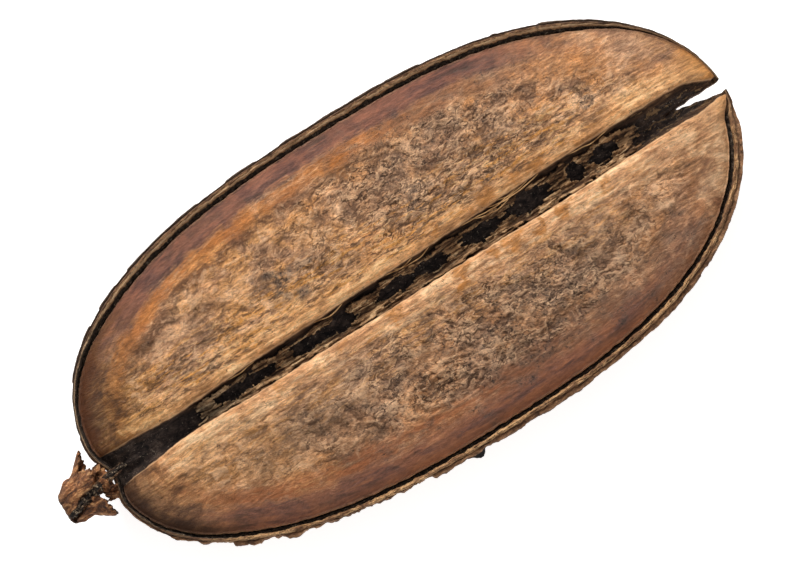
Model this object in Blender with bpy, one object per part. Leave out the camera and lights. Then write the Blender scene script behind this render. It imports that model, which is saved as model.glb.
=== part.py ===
# A dried jacaranda pod, opened: one half of the capsule lying on its bark, inner face up.
# It has a woody shell, two linings beside the torn partition strip, and the calyx at the stalk end.
# Lengths are in millimetres until new_object() writes a mesh in metres.
# +X runs from the stalk to the tip, and +Z is up out of the inner face.

import math

import bmesh
import bpy
import numpy as np
from mathutils import Matrix, Vector, noise

MM = 0.001
GAP = 0.35  # between a piece and what it lies on

# Outline of the pod, a superellipse whose powers differ at its two ends
HALF_LENGTH = 46.3
HALF_WIDTH = 23.2
STALK_POWERS = (2.5, 2.5)  # along and across
TIP_POWERS = (2.75, 1.95)
NOTCH_DEPTH = 1.2  # where the calyx sits
NOTCH_WIDTH = 2.4
NOTCH_Y = -1.4
OUTLINE_POINTS = 128
BARK_ROUGHNESS = {"left": 0.12, "right": 0.42}  # how far the bark edge wanders

# Heights above the table
SHOULDER_Z = 5.4  # widest line of the bark
RIM_Z = 8.2
LINING_EDGE_Z = 7.8
UNDERSIDE_SCALES = (  # the first is the share of the outline that rests on the table
    0.22, 0.34, 0.46, 0.57, 0.67, 0.76, 0.84, 0.91, 0.965,
)
UNDERSIDE_POWER = 2.2
UNDERSIDE_LUMPS = 0.55
UNDERSIDE_LUMP_LENGTH = 3.2
RIM_WAVE = 0.3
RIM_WAVE_LENGTH = 14.0

# Rim and the crack inside it
RIM_WIDTH = 1.3
RIM_PROFILE = ((0.06, -0.45), (0.32, -0.1), (0.72, 0), (1.0, -0.12))  # share of the width, height
BARK_GRAIN = 1.7  # wavelength of the bark's uneven edge
CRACK_WIDTH = 0.65
RIM_SHARE_AT_STALK = 0.58
RIM_SHARE_AT_TIP = 0.42
RIM_TAPER = 13.0
BED_WEIGHTS = (0, 0.07, 0.16, 0.3, 0.5, 0.75, 1)  # rings under the linings, from the crack to the slot

# Linings
LINING_THICKNESS = 1.0
BEVEL_RISE = 1.75
BEVEL_RUN = 1.7
CROWN_RISE = 1.25
CROWN_RUN = 15.0
LIP_DROP = 0.35
LIP_RUN = 0.9
WRINKLE_HEIGHT = 0.24
WRINKLE_SWELLS = ((1.6, 2.6, 3.1), (0.8, 6.0, 8.4))  # share of the height, wavelength, seed
SMOOTH_BANDS = (2.5, 1.0)  # width beside the rim, and beside the slot
BAND_FADE = 4.0
LINING_STATIONS = 72
TOP_WEIGHTS = (0, 0.04, 0.1, 0.19, 0.32, 0.46, 0.6, 0.74, 0.87, 0.955, 1)
UNDER_WEIGHTS = (1, 0.75, 0.45, 0.2, 0.08, 0)

# Slot between the linings
SLOT_SLANT = 0.019
SLOT_OFFSET = -0.1
SLOT_HALF_WIDTHS = (
    (-45.3, 2.2), (-41, 2.0), (-34, 1.5), (-22, 1.85), (3, 2.05), (20, 2.35), (41, 2.15), (46, 1.15),
)
SLOT_END_STALK = -43.3
SLOT_END_TIP = 45.3
LIP_OVERHANG = 0.25  # of the linings past the groove's walls
FLOOR_SHARE = 0.62  # groove floor's width, of the slot's
FLOOR_Z = 7.2
RIBBON_RISE = 0.7  # the dark ribbon that climbs to the calyx
RIBBON_LENGTH = 15.0
FLOOR_ROUGHNESS = 0.15
LEAST_WALL = 0.4  # the floor stays this far under the top of the wall

# Split that parts the two tips
SPLIT_HALF_WIDTHS = ((38.2, 0.08), (39.6, 0.28), (41.5, 0.5), (44, 0.75), (48, 1.15))

# Torn partition strip on the groove's floor
STRIP_START, STRIP_END = -31.5, 33.0
STRIP_THICKNESS = 0.6
STRIP_STATIONS = 66
STRIP_FLOOR_SHARE = 0.72  # of the groove floor's half width
STRIP_WING_SHARE = 0.62  # of the slot's half width
STRIP_WING_Z = 1.35
STRIP_TEAR = 0.45
STRIP_HOLES = (
    (-24.8, 4.6, 0.62), (-15.4, 2.1, 0.56), (-10.9, 2.3, 0.62), (-2.6, 2.7, 0.5),
    (3.1, 2.1, 0.52), (10.6, 3.0, 0.58), (17.6, 3.4, 0.64), (24.4, 1.0, 0.5), (28.6, 1.7, 0.6),
)  # middle, half length, half width

# Calyx and the stalk's stub
CALYX_BASE_X = -52.2
CALYX_Z = 6.6
CALYX_LENGTH = 4.7
CALYX_RADII = ((0, 1.3), (0.4, 1.85), (1.6, 2.45), (3.0, 2.4), (4.0, 2.7), (4.7, 3.0))
CALYX_FLATTENING = 0.78
CALYX_WALL = 0.62
CALYX_SIDES = 30
CALYX_TEETH = 5
TOOTH_REACH = 1.75
TOOTH_LENGTH = 0.75
TOOTH_SHARPNESS = 3.0
SLIT_WIDTH = 0.9
STRAND_RADIUS = 0.62
DISC_LOBES = 6
DISC_LOBE_RADIUS = 0.72
DISC_RADIUS = 1.45

BARK = ((0.23, 0.14, 0.08), 0.85)
LINING = ((0.45, 0.27, 0.16), 0.7)
STRIP = ((0.30, 0.22, 0.13), 0.85)
CALYX = ((0.25, 0.14, 0.08), 0.8)


def smoothstep(value):
    t = np.clip(value, 0, 1)
    return t * t * (3 - 2 * t)


def eased_table(x, table):
    """A value read from (place, value) pairs, with an eased run from each pair to the next."""
    places, values = np.array(table).T
    x = np.asarray(x, float)
    low = np.clip(np.searchsorted(places, x) - 1, 0, len(places) - 2)
    share = smoothstep((x - places[low]) / (places[low + 1] - places[low]))
    return values[low] + share * (values[low + 1] - values[low])


def rough(x, y, wavelength, seed):
    """Smooth noise between -1 and 1 at each point, longer along X as the fibres run."""
    points = zip(np.ravel(x), np.ravel(y))
    values = [noise.noise(Vector((px / (1.8 * wavelength), py / wavelength, seed))) for px, py in points]
    return np.reshape(values, np.shape(x))


def share_along(angles):
    """How far along the pod each angle lies, from -1 at the stalk to 1 at the tip."""
    cosine = np.cos(angles)
    power = np.where(cosine > 0, TIP_POWERS[0], STALK_POWERS[0])
    return np.sign(cosine) * np.abs(cosine) ** (2 / power)


def superellipse(angles):
    sine = np.sin(angles)
    tip = np.cos(angles) > 0
    across = np.where(tip, TIP_POWERS[1], STALK_POWERS[1])
    y = HALF_WIDTH * np.sign(sine) * np.abs(sine) ** (2 / across)
    notch = NOTCH_DEPTH * np.exp(-(((y - NOTCH_Y) / NOTCH_WIDTH) ** 2))
    return np.column_stack([HALF_LENGTH * share_along(angles) + np.where(tip, 0, notch), y])


def outline(count):
    """Evenly spaced points round the pod from its tip, their angles, and their inward normals."""
    angles = np.linspace(0, 2 * math.pi, 4001)
    fine = superellipse(angles)
    run = np.concatenate([[0], np.cumsum(np.linalg.norm(np.diff(fine, axis=0), axis=1))])
    at = np.arange(count) / count * run[-1]
    points = np.column_stack([np.interp(at, run, fine[:, k]) for k in (0, 1)])
    tangents = np.roll(points, -1, axis=0) - np.roll(points, 1, axis=0)
    tangents /= np.linalg.norm(tangents, axis=1)[:, None]
    return points, np.interp(at, run, angles), np.column_stack([-tangents[:, 1], tangents[:, 0]])


EDGE = outline(1200)[0]


def rim_share(x):
    """How much of its full width the rim keeps, since it narrows toward both ends."""
    to_stalk = smoothstep((x + HALF_LENGTH) / RIM_TAPER)
    to_tip = smoothstep((HALF_LENGTH - x) / RIM_TAPER)
    at_stalk = RIM_SHARE_AT_STALK + (1 - RIM_SHARE_AT_STALK) * to_stalk
    return at_stalk * (RIM_SHARE_AT_TIP + (1 - RIM_SHARE_AT_TIP) * to_tip)


def slot_middle(x):
    return SLOT_OFFSET + SLOT_SLANT * np.asarray(x, float)


def slot_half_width(x):
    return eased_table(x, SLOT_HALF_WIDTHS)


def inset_from_lining_edge(x, y):
    """How far a point lies inside the line where the linings end at the crack."""
    points = np.column_stack([np.ravel(x), np.ravel(y)])
    nearest = np.array([np.hypot(*(EDGE - p).T).min() for p in points])
    return np.reshape(nearest, np.shape(x)) - (RIM_WIDTH + CRACK_WIDTH) * rim_share(np.asarray(x))


def lining_height(x, y):
    """The smooth top of the linings: a steep bevel at the rim, then a low crown up to the slot."""
    inset = np.maximum(inset_from_lining_edge(x, y), 0)
    from_lip = np.abs(y - slot_middle(x)) - slot_half_width(x)
    lip = np.clip(1 - from_lip / LIP_RUN, 0, 1) ** 2
    bevel = BEVEL_RISE * (1 - np.exp(-inset / BEVEL_RUN))
    return LINING_EDGE_Z + bevel + CROWN_RISE * smoothstep(inset / CROWN_RUN) - LIP_DROP * lip


def wrinkles(x, y):
    """Low folds where the seeds lay, none on the smooth bands beside the rim and the slot."""
    inset = inset_from_lining_edge(x, y)
    from_lip = np.abs(y - slot_middle(x)) - slot_half_width(x)
    rim_band, slot_band = SMOOTH_BANDS
    mask = smoothstep((inset - rim_band) / BAND_FADE) * smoothstep((from_lip - slot_band) / BAND_FADE)
    return WRINKLE_HEIGHT * mask * sum(part * rough(x, y, length, seed) for part, length, seed in WRINKLE_SWELLS)


def new_object(name, bm, finish):
    """A smooth-shaded object from a mesh in millimetres, with its own plain material."""
    colour, roughness = finish
    bmesh.ops.recalc_face_normals(bm, faces=bm.faces)
    bmesh.ops.transform(bm, matrix=Matrix.Scale(MM, 4), verts=bm.verts)
    mesh = bpy.data.meshes.new(name)
    bm.to_mesh(mesh)
    bm.free()
    mesh.shade_smooth()
    mesh.set_sharp_from_angle(angle=math.radians(50))
    material = bpy.data.materials.new(name)
    material.use_nodes = True
    shader = material.node_tree.nodes["Principled BSDF"]
    shader.inputs["Base Color"].default_value = (*colour, 1)
    shader.inputs["Roughness"].default_value = roughness
    shader.inputs["Metallic"].default_value = 0
    mesh.materials.append(material)
    obj = bpy.data.objects.new(name, mesh)
    bpy.context.scene.collection.objects.link(obj)
    return obj


def loft(bm, loops, closed_ends=True):
    """Skins closed loops of equally many points, one after another, and caps the two ends."""
    rings = [[bm.verts.new(point) for point in loop] for loop in loops]
    for first, second in zip(rings, rings[1:]):
        for i in range(len(first)):
            j = (i + 1) % len(first)
            bm.faces.new((first[i], first[j], second[j], second[i]))
    if closed_ends:
        bm.faces.new(rings[0])
        bm.faces.new(rings[-1])
    return rings


def ring(xy, z):
    return np.column_stack([xy, np.broadcast_to(z, len(xy))])


def woody_shell():
    """Bark, rim and woody body in one piece: rings climb the bark, cross the rim and the crack,
    pass under the linings and go down into the groove, whose floor closes the top."""
    points, angles, inward = outline(OUTLINE_POINTS)
    x, y = points.T
    side = np.where(y > 0, BARK_ROUGHNESS["left"], BARK_ROUGHNESS["right"])
    bark = points + inward * (side * rough(x, y, BARK_GRAIN, 5.2))[:, None]
    wave = RIM_WAVE * rough(x, y, RIM_WAVE_LENGTH, 1.3)
    share = rim_share(x)

    loops = []
    flat_spot = UNDERSIDE_SCALES[0]
    for scale in UNDERSIDE_SCALES:
        climb = ((scale - flat_spot) / (1 - flat_spot)) ** UNDERSIDE_POWER
        lumps = min(2 * climb, 1) * (1 - climb) * rough(x * scale, y * scale, UNDERSIDE_LUMP_LENGTH, 2.2)
        loops.append(ring(points * scale, SHOULDER_Z * climb + UNDERSIDE_LUMPS * lumps))
    loops.append(ring(bark, SHOULDER_Z + 0.5 * wave))
    for inset, drop in RIM_PROFILE:
        loops.append(ring(bark + inward * (inset * RIM_WIDTH * share)[:, None], RIM_Z + drop + wave))
    crack_floor = LINING_EDGE_Z - LINING_THICKNESS - GAP
    loops.append(ring(points + inward * ((RIM_WIDTH + 0.08) * share)[:, None], crack_floor))

    slot_x = np.where(np.cos(angles) > 0, SLOT_END_TIP, -SLOT_END_STALK) * share_along(angles)
    end_round = np.sign(np.sin(angles)) * np.abs(np.sin(angles)) ** 0.3
    half = (slot_half_width(slot_x) + LIP_OVERHANG) * end_round
    wall_top = np.column_stack([slot_x, slot_middle(slot_x) + half])
    crack_inner = points + inward * ((RIM_WIDTH + CRACK_WIDTH) * share)[:, None]
    for weight in BED_WEIGHTS:
        xy = crack_inner * (1 - weight) + wall_top * weight
        z = lining_height(*xy.T) - LINING_THICKNESS - GAP
        loops.append(ring(xy, z))

    ribbon = RIBBON_RISE * smoothstep(1 - (slot_x - SLOT_END_STALK) / RIBBON_LENGTH)
    floor_x = slot_x * 0.985
    floor = np.column_stack([floor_x, slot_middle(floor_x) + FLOOR_SHARE * half])
    floor_z = FLOOR_Z + ribbon + FLOOR_ROUGHNESS * rough(*floor.T, 2.5, 7.7)
    floor_z = np.minimum(floor_z, loops[-1][:, 2] - LEAST_WALL)
    loops.append(ring(floor, floor_z))

    bm = bmesh.new()
    rings = loft(bm, loops, closed_ends=False)
    bm.faces.new(rings[0])
    last, count = rings[-1], OUTLINE_POINTS
    for i in range(count // 2):
        pair = (last[i], last[i + 1], last[(count - i - 1) % count], last[(count - i) % count])
        bm.faces.new(tuple(dict.fromkeys(pair)))
    shell = new_object("woody_shell", bm, BARK)

    split = shell.modifiers.new("tip split", "BOOLEAN")
    split.object = split_cutter()
    return shell


def split_cutter():
    """The upright wedge that parts the two tips."""
    bm = bmesh.new()
    loops = []
    for x, half in SPLIT_HALF_WIDTHS:
        middle = float(slot_middle(x))
        loops.append([(x, middle + s * half, z) for s, z in ((-1, -2), (1, -2), (1, 14), (-1, 14))])
    loft(bm, loops)
    cutter = new_object("split_cutter", bm, BARK)
    cutter.hide_render = True
    cutter.display_type = "WIRE"
    return cutter


def lining_edges(side):
    """Matching points along a lining's rim edge and its slot edge, from the tip to the stalk."""
    points, _, inward = outline(1200)
    edge = points + inward * ((RIM_WIDTH + CRACK_WIDTH) * rim_share(points[:, 0]))[:, None]
    above_lip = side * (edge[:, 1] - slot_middle(edge[:, 0])) - slot_half_width(edge[:, 0])
    rim_edge = edge[above_lip > 0.35]
    rim_edge = rim_edge[np.argsort(-side * np.arctan2(rim_edge[:, 1], rim_edge[:, 0]))[::-1]]
    run = np.concatenate([[0], np.cumsum(np.linalg.norm(np.diff(rim_edge, axis=0), axis=1))])
    at = np.linspace(0, 1, LINING_STATIONS)
    at = (0.8 * at + 0.2 * smoothstep(at)) * run[-1]
    rim_edge = np.column_stack([np.interp(at, run, rim_edge[:, k]) for k in (0, 1)])
    falling = np.minimum.accumulate(rim_edge[:, 0]) - 0.02 * np.arange(LINING_STATIONS)
    share = (falling - falling[-1]) / (falling[0] - falling[-1])
    x = SLOT_END_STALK + 0.5 + share * (SLOT_END_TIP - SLOT_END_STALK - 0.7)
    return rim_edge, np.column_stack([x, slot_middle(x) + side * slot_half_width(x)])


def lining(name, side):
    """One smooth inner lining, a crescent skin from the crack to its lip over the slot."""
    rim_edge, slot_edge = lining_edges(side)
    top = np.array([rim_edge * (1 - w) + slot_edge * w for w in TOP_WEIGHTS])
    under = np.array([rim_edge * (1 - w) + slot_edge * w for w in UNDER_WEIGHTS])
    top_z = lining_height(top[..., 0], top[..., 1]) + wrinkles(top[..., 0], top[..., 1])
    under_z = lining_height(under[..., 0], under[..., 1]) - LINING_THICKNESS
    section = np.concatenate([np.dstack([top, top_z]), np.dstack([under, under_z])])
    bm = bmesh.new()
    loft(bm, [section[:, i] for i in range(LINING_STATIONS)])
    return new_object(name, bm, LINING)


def septum_strip():
    """What is left of the partition: a papery trough with torn wings, and holes torn in its floor."""
    bm = bmesh.new()
    loops = []
    for x in np.linspace(STRIP_START, STRIP_END, STRIP_STATIONS):
        half = float(slot_half_width(x))
        floor = STRIP_FLOOR_SHARE * FLOOR_SHARE * half
        wing = STRIP_WING_SHARE * half
        base = FLOOR_Z + FLOOR_ROUGHNESS + GAP
        tear = [STRIP_TEAR * noise.noise(Vector((x / 1.3, s * 4, 9.1))) for s in (-1, 1)]
        rise = [STRIP_WING_Z + t for t in tear]
        across = (
            (-wing, rise[0]), (-floor, 0), (floor, 0), (wing, rise[1]),
            (wing - 0.5, rise[1] + 0.12), (floor - 0.3, STRIP_THICKNESS),
            (-floor + 0.3, STRIP_THICKNESS), (-wing + 0.5, rise[0] + 0.12),
        )
        middle = float(slot_middle(x))
        loops.append([(x, middle + y, base + z) for y, z in across])
    loft(bm, loops)
    strip = new_object("septum_strip", bm, STRIP)
    for number, hole in enumerate(STRIP_HOLES):
        cut = strip.modifiers.new(f"hole {number + 1}", "BOOLEAN")
        cut.object = hole_cutter(number, *hole)
    return strip


def hole_cutter(number, middle, half_length, half_width):
    """A ragged upright oval that tears one hole in the strip."""
    bm = bmesh.new()
    bmesh.ops.create_cone(bm, cap_ends=True, segments=12, radius1=1, radius2=1, depth=6)
    for vert in bm.verts:
        x = middle + half_length * vert.co.x
        ragged = 1 + 0.35 * noise.noise(Vector((x / 0.9, vert.co.y, 3.3)))
        vert.co.x = x
        vert.co.y = float(slot_middle(x)) + half_width * vert.co.y * ragged
        vert.co.z += FLOOR_Z
    cutter = new_object(f"hole_cutter_{number + 1}", bm, STRIP)
    cutter.hide_render = True
    cutter.display_type = "WIRE"
    return cutter


def calyx_ring(along, radius_change, toothed):
    """One ring of the cup at a distance from its base, pulled out into teeth at the mouth."""
    loop = []
    for i in range(CALYX_SIDES):
        turn = 2 * math.pi * i / CALYX_SIDES
        tooth = abs(math.cos(CALYX_TEETH * (turn - math.pi / 2) / 2)) ** TOOTH_SHARPNESS if toothed else 0
        radius = float(eased_table(along, CALYX_RADII)) + radius_change + TOOTH_REACH * tooth
        uneven = 1 + 0.1 * noise.noise(Vector((math.cos(turn) * 2, math.sin(turn) * 2, along / 2)))
        x = CALYX_BASE_X + along + TOOTH_LENGTH * tooth
        y = NOTCH_Y + radius * uneven * math.sin(turn)
        z = CALYX_Z + CALYX_FLATTENING * radius * uneven * math.cos(turn)
        loop.append((x, y, z))
    return loop


def calyx():
    """The dried cup with its teeth, slit along the top, round the strand that runs to the pod."""
    mouth = CALYX_LENGTH
    bm = bmesh.new()
    loops = [calyx_ring(a, 0, False) for a in (0, 0.4, 1.2, 2.2, 3.2, 4.0)]
    loops.append(calyx_ring(mouth, -0.15, True))
    loops.append(calyx_ring(mouth - 0.12, -0.15 - CALYX_WALL, True))
    loops += [calyx_ring(a, -CALYX_WALL, False) for a in (3.9, 2.6, 1.2)]
    loft(bm, loops)
    cup = new_object("calyx", bm, CALYX)

    bm = bmesh.new()
    place = Matrix.Translation((CALYX_BASE_X + 3.2, NOTCH_Y, CALYX_Z + 3))
    bmesh.ops.create_cube(bm, size=1, matrix=place @ Matrix.Diagonal((4.2, SLIT_WIDTH, 5, 1)))
    slit = new_object("calyx_slit", bm, CALYX)

    joined = bpy.data.collections.new("calyx pieces")
    bpy.context.scene.collection.children.link(joined)
    for piece in [calyx_strand()] + [disc_lobe(i) for i in range(DISC_LOBES)]:
        bpy.context.scene.collection.objects.unlink(piece)
        joined.objects.link(piece)

    cut = cup.modifiers.new("slit", "BOOLEAN")
    cut.object = slit
    union = cup.modifiers.new("union", "BOOLEAN")
    union.operation = "UNION"
    union.operand_type = "COLLECTION"
    union.collection = joined
    union.solver = "MANIFOLD"
    graph = bpy.context.evaluated_depsgraph_get()
    whole = bpy.data.meshes.new_from_object(cup.evaluated_get(graph))
    cup.modifiers.clear()
    cup.data = whole
    for piece in [slit, *joined.objects]:
        bpy.data.objects.remove(piece)
    bpy.data.collections.remove(joined)
    return cup


def calyx_strand():
    """The stiff dark strand inside the cup, which runs on into the notch of the pod."""
    end = -HALF_LENGTH + NOTCH_DEPTH - GAP
    length = end - CALYX_BASE_X - 0.5
    bm = bmesh.new()
    turned = Matrix.Rotation(math.pi / 2, 4, "Y")
    place = Matrix.Translation((end - length / 2, NOTCH_Y, CALYX_Z + 0.35))
    bmesh.ops.create_cone(
        bm, cap_ends=True, segments=12, radius1=STRAND_RADIUS + 0.25, radius2=STRAND_RADIUS, depth=length,
        matrix=place @ turned,
    )
    return new_object("strand", bm, CALYX)


def disc_lobe(number):
    """One lump of the ring that stands between the cup's mouth and the pod."""
    turn = 2 * math.pi * (number + 0.5) / DISC_LOBES
    y = NOTCH_Y + DISC_RADIUS * math.sin(turn)
    z = CALYX_Z + 0.8 * DISC_RADIUS * math.cos(turn)
    place = Matrix.Translation((-HALF_LENGTH - 0.55, y, z)) @ Matrix.Diagonal((1, 1.25, 1, 1))
    bm = bmesh.new()
    bmesh.ops.create_icosphere(bm, subdivisions=1, radius=DISC_LOBE_RADIUS + 0.08 * (number % 3), matrix=place)
    return new_object(f"lobe_{number}", bm, CALYX)


def stand_on_origin():
    """Moves every mesh so that the origin is under the middle of the whole pod, on the table."""
    graph = bpy.context.evaluated_depsgraph_get()
    shown = [o for o in bpy.context.scene.objects if not o.hide_render]
    corners = np.array([o.matrix_world @ v.co for o in shown for v in o.evaluated_get(graph).to_mesh().vertices])
    low, high = corners.min(0), corners.max(0)
    shift = Matrix.Translation((-(low[0] + high[0]) / 2, -(low[1] + high[1]) / 2, -low[2]))
    for mesh in {o.data for o in bpy.context.scene.objects}:
        mesh.transform(shift)


for old in list(bpy.data.objects):
    bpy.data.objects.remove(old)
woody_shell()
lining("lining_left", 1)
lining("lining_right", -1)
septum_strip()
calyx()
stand_on_origin()
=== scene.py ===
# A dry jacaranda pod half, lying on its bark with the smooth inner face up.
# Shapes are worked out in millimetres from the middle of the pod, then moved onto the solids.
import math

import bmesh
import bpy
import numpy as np
from mathutils import Matrix, Vector, kdtree, noise


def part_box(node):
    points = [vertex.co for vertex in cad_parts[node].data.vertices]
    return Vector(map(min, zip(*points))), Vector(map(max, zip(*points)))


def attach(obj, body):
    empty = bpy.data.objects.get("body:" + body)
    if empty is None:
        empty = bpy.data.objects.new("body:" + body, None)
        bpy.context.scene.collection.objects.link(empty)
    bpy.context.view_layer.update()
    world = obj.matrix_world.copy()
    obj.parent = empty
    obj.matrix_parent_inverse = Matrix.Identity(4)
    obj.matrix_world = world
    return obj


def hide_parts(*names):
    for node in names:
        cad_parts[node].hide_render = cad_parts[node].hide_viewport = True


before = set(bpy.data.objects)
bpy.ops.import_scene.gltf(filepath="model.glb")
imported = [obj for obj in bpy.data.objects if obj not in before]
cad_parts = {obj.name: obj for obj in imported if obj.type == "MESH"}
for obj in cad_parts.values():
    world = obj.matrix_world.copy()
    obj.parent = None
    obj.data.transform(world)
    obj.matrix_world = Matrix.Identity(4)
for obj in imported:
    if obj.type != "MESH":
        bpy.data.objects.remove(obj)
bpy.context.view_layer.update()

mm = 0.001

# The pod's own form, as the solids have it
pod = {
    "halfLength": 46.3,
    "halfWidth": 23.2,
    "stalkPowers": (2.5, 2.5),
    "tipPowers": (2.75, 1.95),
    "notchDepth": 1.2,
    "notchWidth": 2.4,
    "notchY": -1.4,
    "calyxBase": -52.2,
    "shoulderZ": 5.4,
    "rimZ": 8.2,
    "liningEdgeZ": 7.8,
    "rimWidth": 1.3,
    "crackWidth": 0.65,
    "rimShareAtStalk": 0.58,
    "rimShareAtTip": 0.3,
    "rimTaper": 13.0,
    "tipTapers": (15.0, 5.0),  # left edge, right edge
    "rimWave": 0.3,
    "rimWaveLength": 14.0,
    "barkRoughness": 0.12,
    "barkGrain": 1.7,
    "slotSlant": 0.019,
    "slotOffset": -0.1,
    "slotBend": (0.65, 39.0, 8.0),  # how far the tips' end leans to the right edge, from where, over what run
    "slotHalfWidths": (  # place along the pod, half width
        (-45.3, 2.2), (-41, 2.0), (-34, 1.5), (-22, 1.85), (3, 2.05), (20, 2.35), (41, 2.15), (46, 1.15),
    ),
    "slotEnds": (-43.3, 45.3),
    "floorZ": 7.2,
    "floorShare": 0.62,
    "gap": 0.35,
}

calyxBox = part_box("calyx")
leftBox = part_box("lining_left")
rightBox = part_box("lining_right")
liningStart = pod["rimWidth"] + pod["crackWidth"]
podPlace = Vector((calyxBox[0].x / mm - pod["calyxBase"], (leftBox[1].y + rightBox[0].y) / 2 / mm, 0))


# Numbers


def smooth(value):
    t = np.clip(value, 0, 1)
    return t * t * (3 - 2 * t)


def arch(share):  # 0 at both ends, 1 in the middle
    return math.sin(math.pi * share)


def evenSteps(count):  # even shares of the way, the first left out
    return np.linspace(0, 1, count + 1)[1:]


def mixed(first, second, share):
    return first * (1 - share) + second * share


def runAlong(points):
    return np.concatenate([[0], np.cumsum(np.linalg.norm(np.diff(points, axis=0), axis=1))])


def bump(value, middle, width):
    return np.exp(-(((value - middle) / width) ** 2))


def eased(x, table):
    places, values = np.array(table).T
    x = np.asarray(x, float)
    low = np.clip(np.searchsorted(places, x) - 1, 0, len(places) - 2)
    share = smooth((x - places[low]) / (places[low + 1] - places[low]))
    return values[low] + share * (values[low + 1] - values[low])


def swell(x, y, length, seed):  # the noise that the solids use, longer along the pod
    places = zip(np.ravel(x) / (1.8 * length), np.ravel(y) / length)
    values = [noise.noise(Vector((a, b, seed))) for a, b in places]
    return np.reshape(values, np.shape(x))


def grain(x, y, size, seed, octaves=4, z=None):  # size is one length, or one for each axis
    sizes = (size,) * 3 if np.isscalar(size) else size
    third = np.zeros(np.size(x)) if z is None else np.ravel(z) / sizes[-1]
    places = zip(np.ravel(x) / sizes[0], np.ravel(y) / sizes[1], third + seed)
    values = [noise.fractal(Vector(place), 0.85, 2.0, octaves) for place in places]
    return np.reshape(values, np.shape(x))


def ridges(x, y, size, seed, octaves=3):  # sharp crests, about 0 to 1
    places = zip(np.ravel(x) / size[0], np.ravel(y) / size[1])
    places = [Vector((a, b, seed)) for a, b in places]
    values = [noise.ridged_multi_fractal(place, 0.9, 2.1, octaves, 1.0, 2.0) for place in places]
    return np.clip(np.reshape(values, np.shape(x)) / 2.2, 0, 1.3)


# The pod's outline, rim and slot


def shareAlong(angles):
    cosine = np.cos(angles)
    power = np.where(cosine > 0, pod["tipPowers"][0], pod["stalkPowers"][0])
    return np.sign(cosine) * np.abs(cosine) ** (2 / power)


def edgePoints(angles, notched=True):
    sine = np.sin(angles)
    tip = np.cos(angles) > 0
    across = np.where(tip, pod["tipPowers"][1], pod["stalkPowers"][1])
    y = pod["halfWidth"] * np.sign(sine) * np.abs(sine) ** (2 / across)
    notch = pod["notchDepth"] * bump(y, pod["notchY"], pod["notchWidth"]) * notched
    return np.column_stack([pod["halfLength"] * shareAlong(angles) + np.where(tip, 0, notch), y])


def outline(count):  # even steps round the pod from its tip, the same on both sides of its middle
    fineAngles = np.linspace(0, 2 * math.pi, 8001)
    run = runAlong(edgePoints(fineAngles, notched=False))
    at = np.arange(count) / count * run[-1]
    angles = np.interp(at, run, fineAngles)
    points = edgePoints(angles)
    tangents = np.roll(points, -1, axis=0) - np.roll(points, 1, axis=0)
    tangents /= np.linalg.norm(tangents, axis=1)[:, None]
    return points, angles, np.column_stack([-tangents[:, 1], tangents[:, 0]]), at


def rimShare(x, y):  # how much of the rim's full width stands here
    fromStalk = smooth((x + pod["halfLength"]) / pod["rimTaper"])
    atStalk = pod["rimShareAtStalk"] + (1 - pod["rimShareAtStalk"]) * fromStalk
    leftTaper, rightTaper = pod["tipTapers"]
    left = smooth((y + 1) / 2)
    leftShare = smooth((pod["halfLength"] - x) / leftTaper)
    rightShare = smooth(np.maximum((pod["halfLength"] - x) / rightTaper, (-0.9 - y) / 3.6))
    toTip = left * leftShare + (1 - left) * rightShare
    return atStalk * (pod["rimShareAtTip"] + (1 - pod["rimShareAtTip"]) * toTip)


def onRight(y):  # 1 on the right edge, 0 on the left
    return smooth((2 - y) / 4)


def slotMiddle(x):
    x = np.asarray(x, float)
    reach, start, run = pod["slotBend"]
    return pod["slotOffset"] + pod["slotSlant"] * x - reach * smooth((x - start) / run)


def besideSlot(x, across):  # places this far to the left of the slot's middle
    return np.column_stack([x, slotMiddle(x) + across])


def slotHalf(x):
    return eased(x, pod["slotHalfWidths"])


edgePlaces = outline(6000)[0]
edgeTree = kdtree.KDTree(len(edgePlaces))
for number, (edgeX, edgeY) in enumerate(edgePlaces):
    edgeTree.insert((edgeX, edgeY, 0), number)
edgeTree.balance()


def liningInset(x, y):  # distance in from the line where the linings end at the crack
    away = [edgeTree.find((a, b, 0))[2] for a, b in zip(np.ravel(x), np.ravel(y))]
    return np.reshape(away, np.shape(x)) - liningStart * rimShare(x, y)


# Meshes


def gridSheet(name, coords, marks, keep=None, closed=True):
    # One grid, its points moved to coords, which holds rows of columns of places in millimetres
    rows, columns = coords.shape[:2]
    places = (coords + np.array(podPlace)) * mm
    bm = bmesh.new()
    bmesh.ops.create_grid(bm, x_segments=columns - 1, y_segments=rows - 1, size=1)
    layers = {mark: bm.verts.layers.float.new(mark) for mark in marks}
    dropped = []
    for vert in bm.verts:
        column = round((vert.co.x + 1) / 2 * (columns - 1))
        row = round((vert.co.y + 1) / 2 * (rows - 1))
        vert.co = places[row, column]
        for mark, layer in layers.items():
            vert[layer] = marks[mark][row, column]
        if keep is not None and not keep[row, column]:
            dropped.append(vert)
    bmesh.ops.delete(bm, geom=dropped, context="VERTS")
    bmesh.ops.remove_doubles(bm, verts=bm.verts, dist=2e-6)
    if closed:
        openEdges = [edge for edge in bm.edges if len(edge.link_faces) == 1]
        bmesh.ops.holes_fill(bm, edges=openEdges, sides=0)
        bmesh.ops.recalc_face_normals(bm, faces=bm.faces)
    return newPiece(name, bm)


def newPiece(name, bm):
    mesh = bpy.data.meshes.new(name)
    bm.to_mesh(mesh)
    bm.free()
    mesh.shade_smooth()
    piece = bpy.data.objects.new(name, mesh)
    bpy.context.scene.collection.objects.link(piece)
    print(f"{name}: {len(mesh.polygons)} faces")
    return piece


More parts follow.
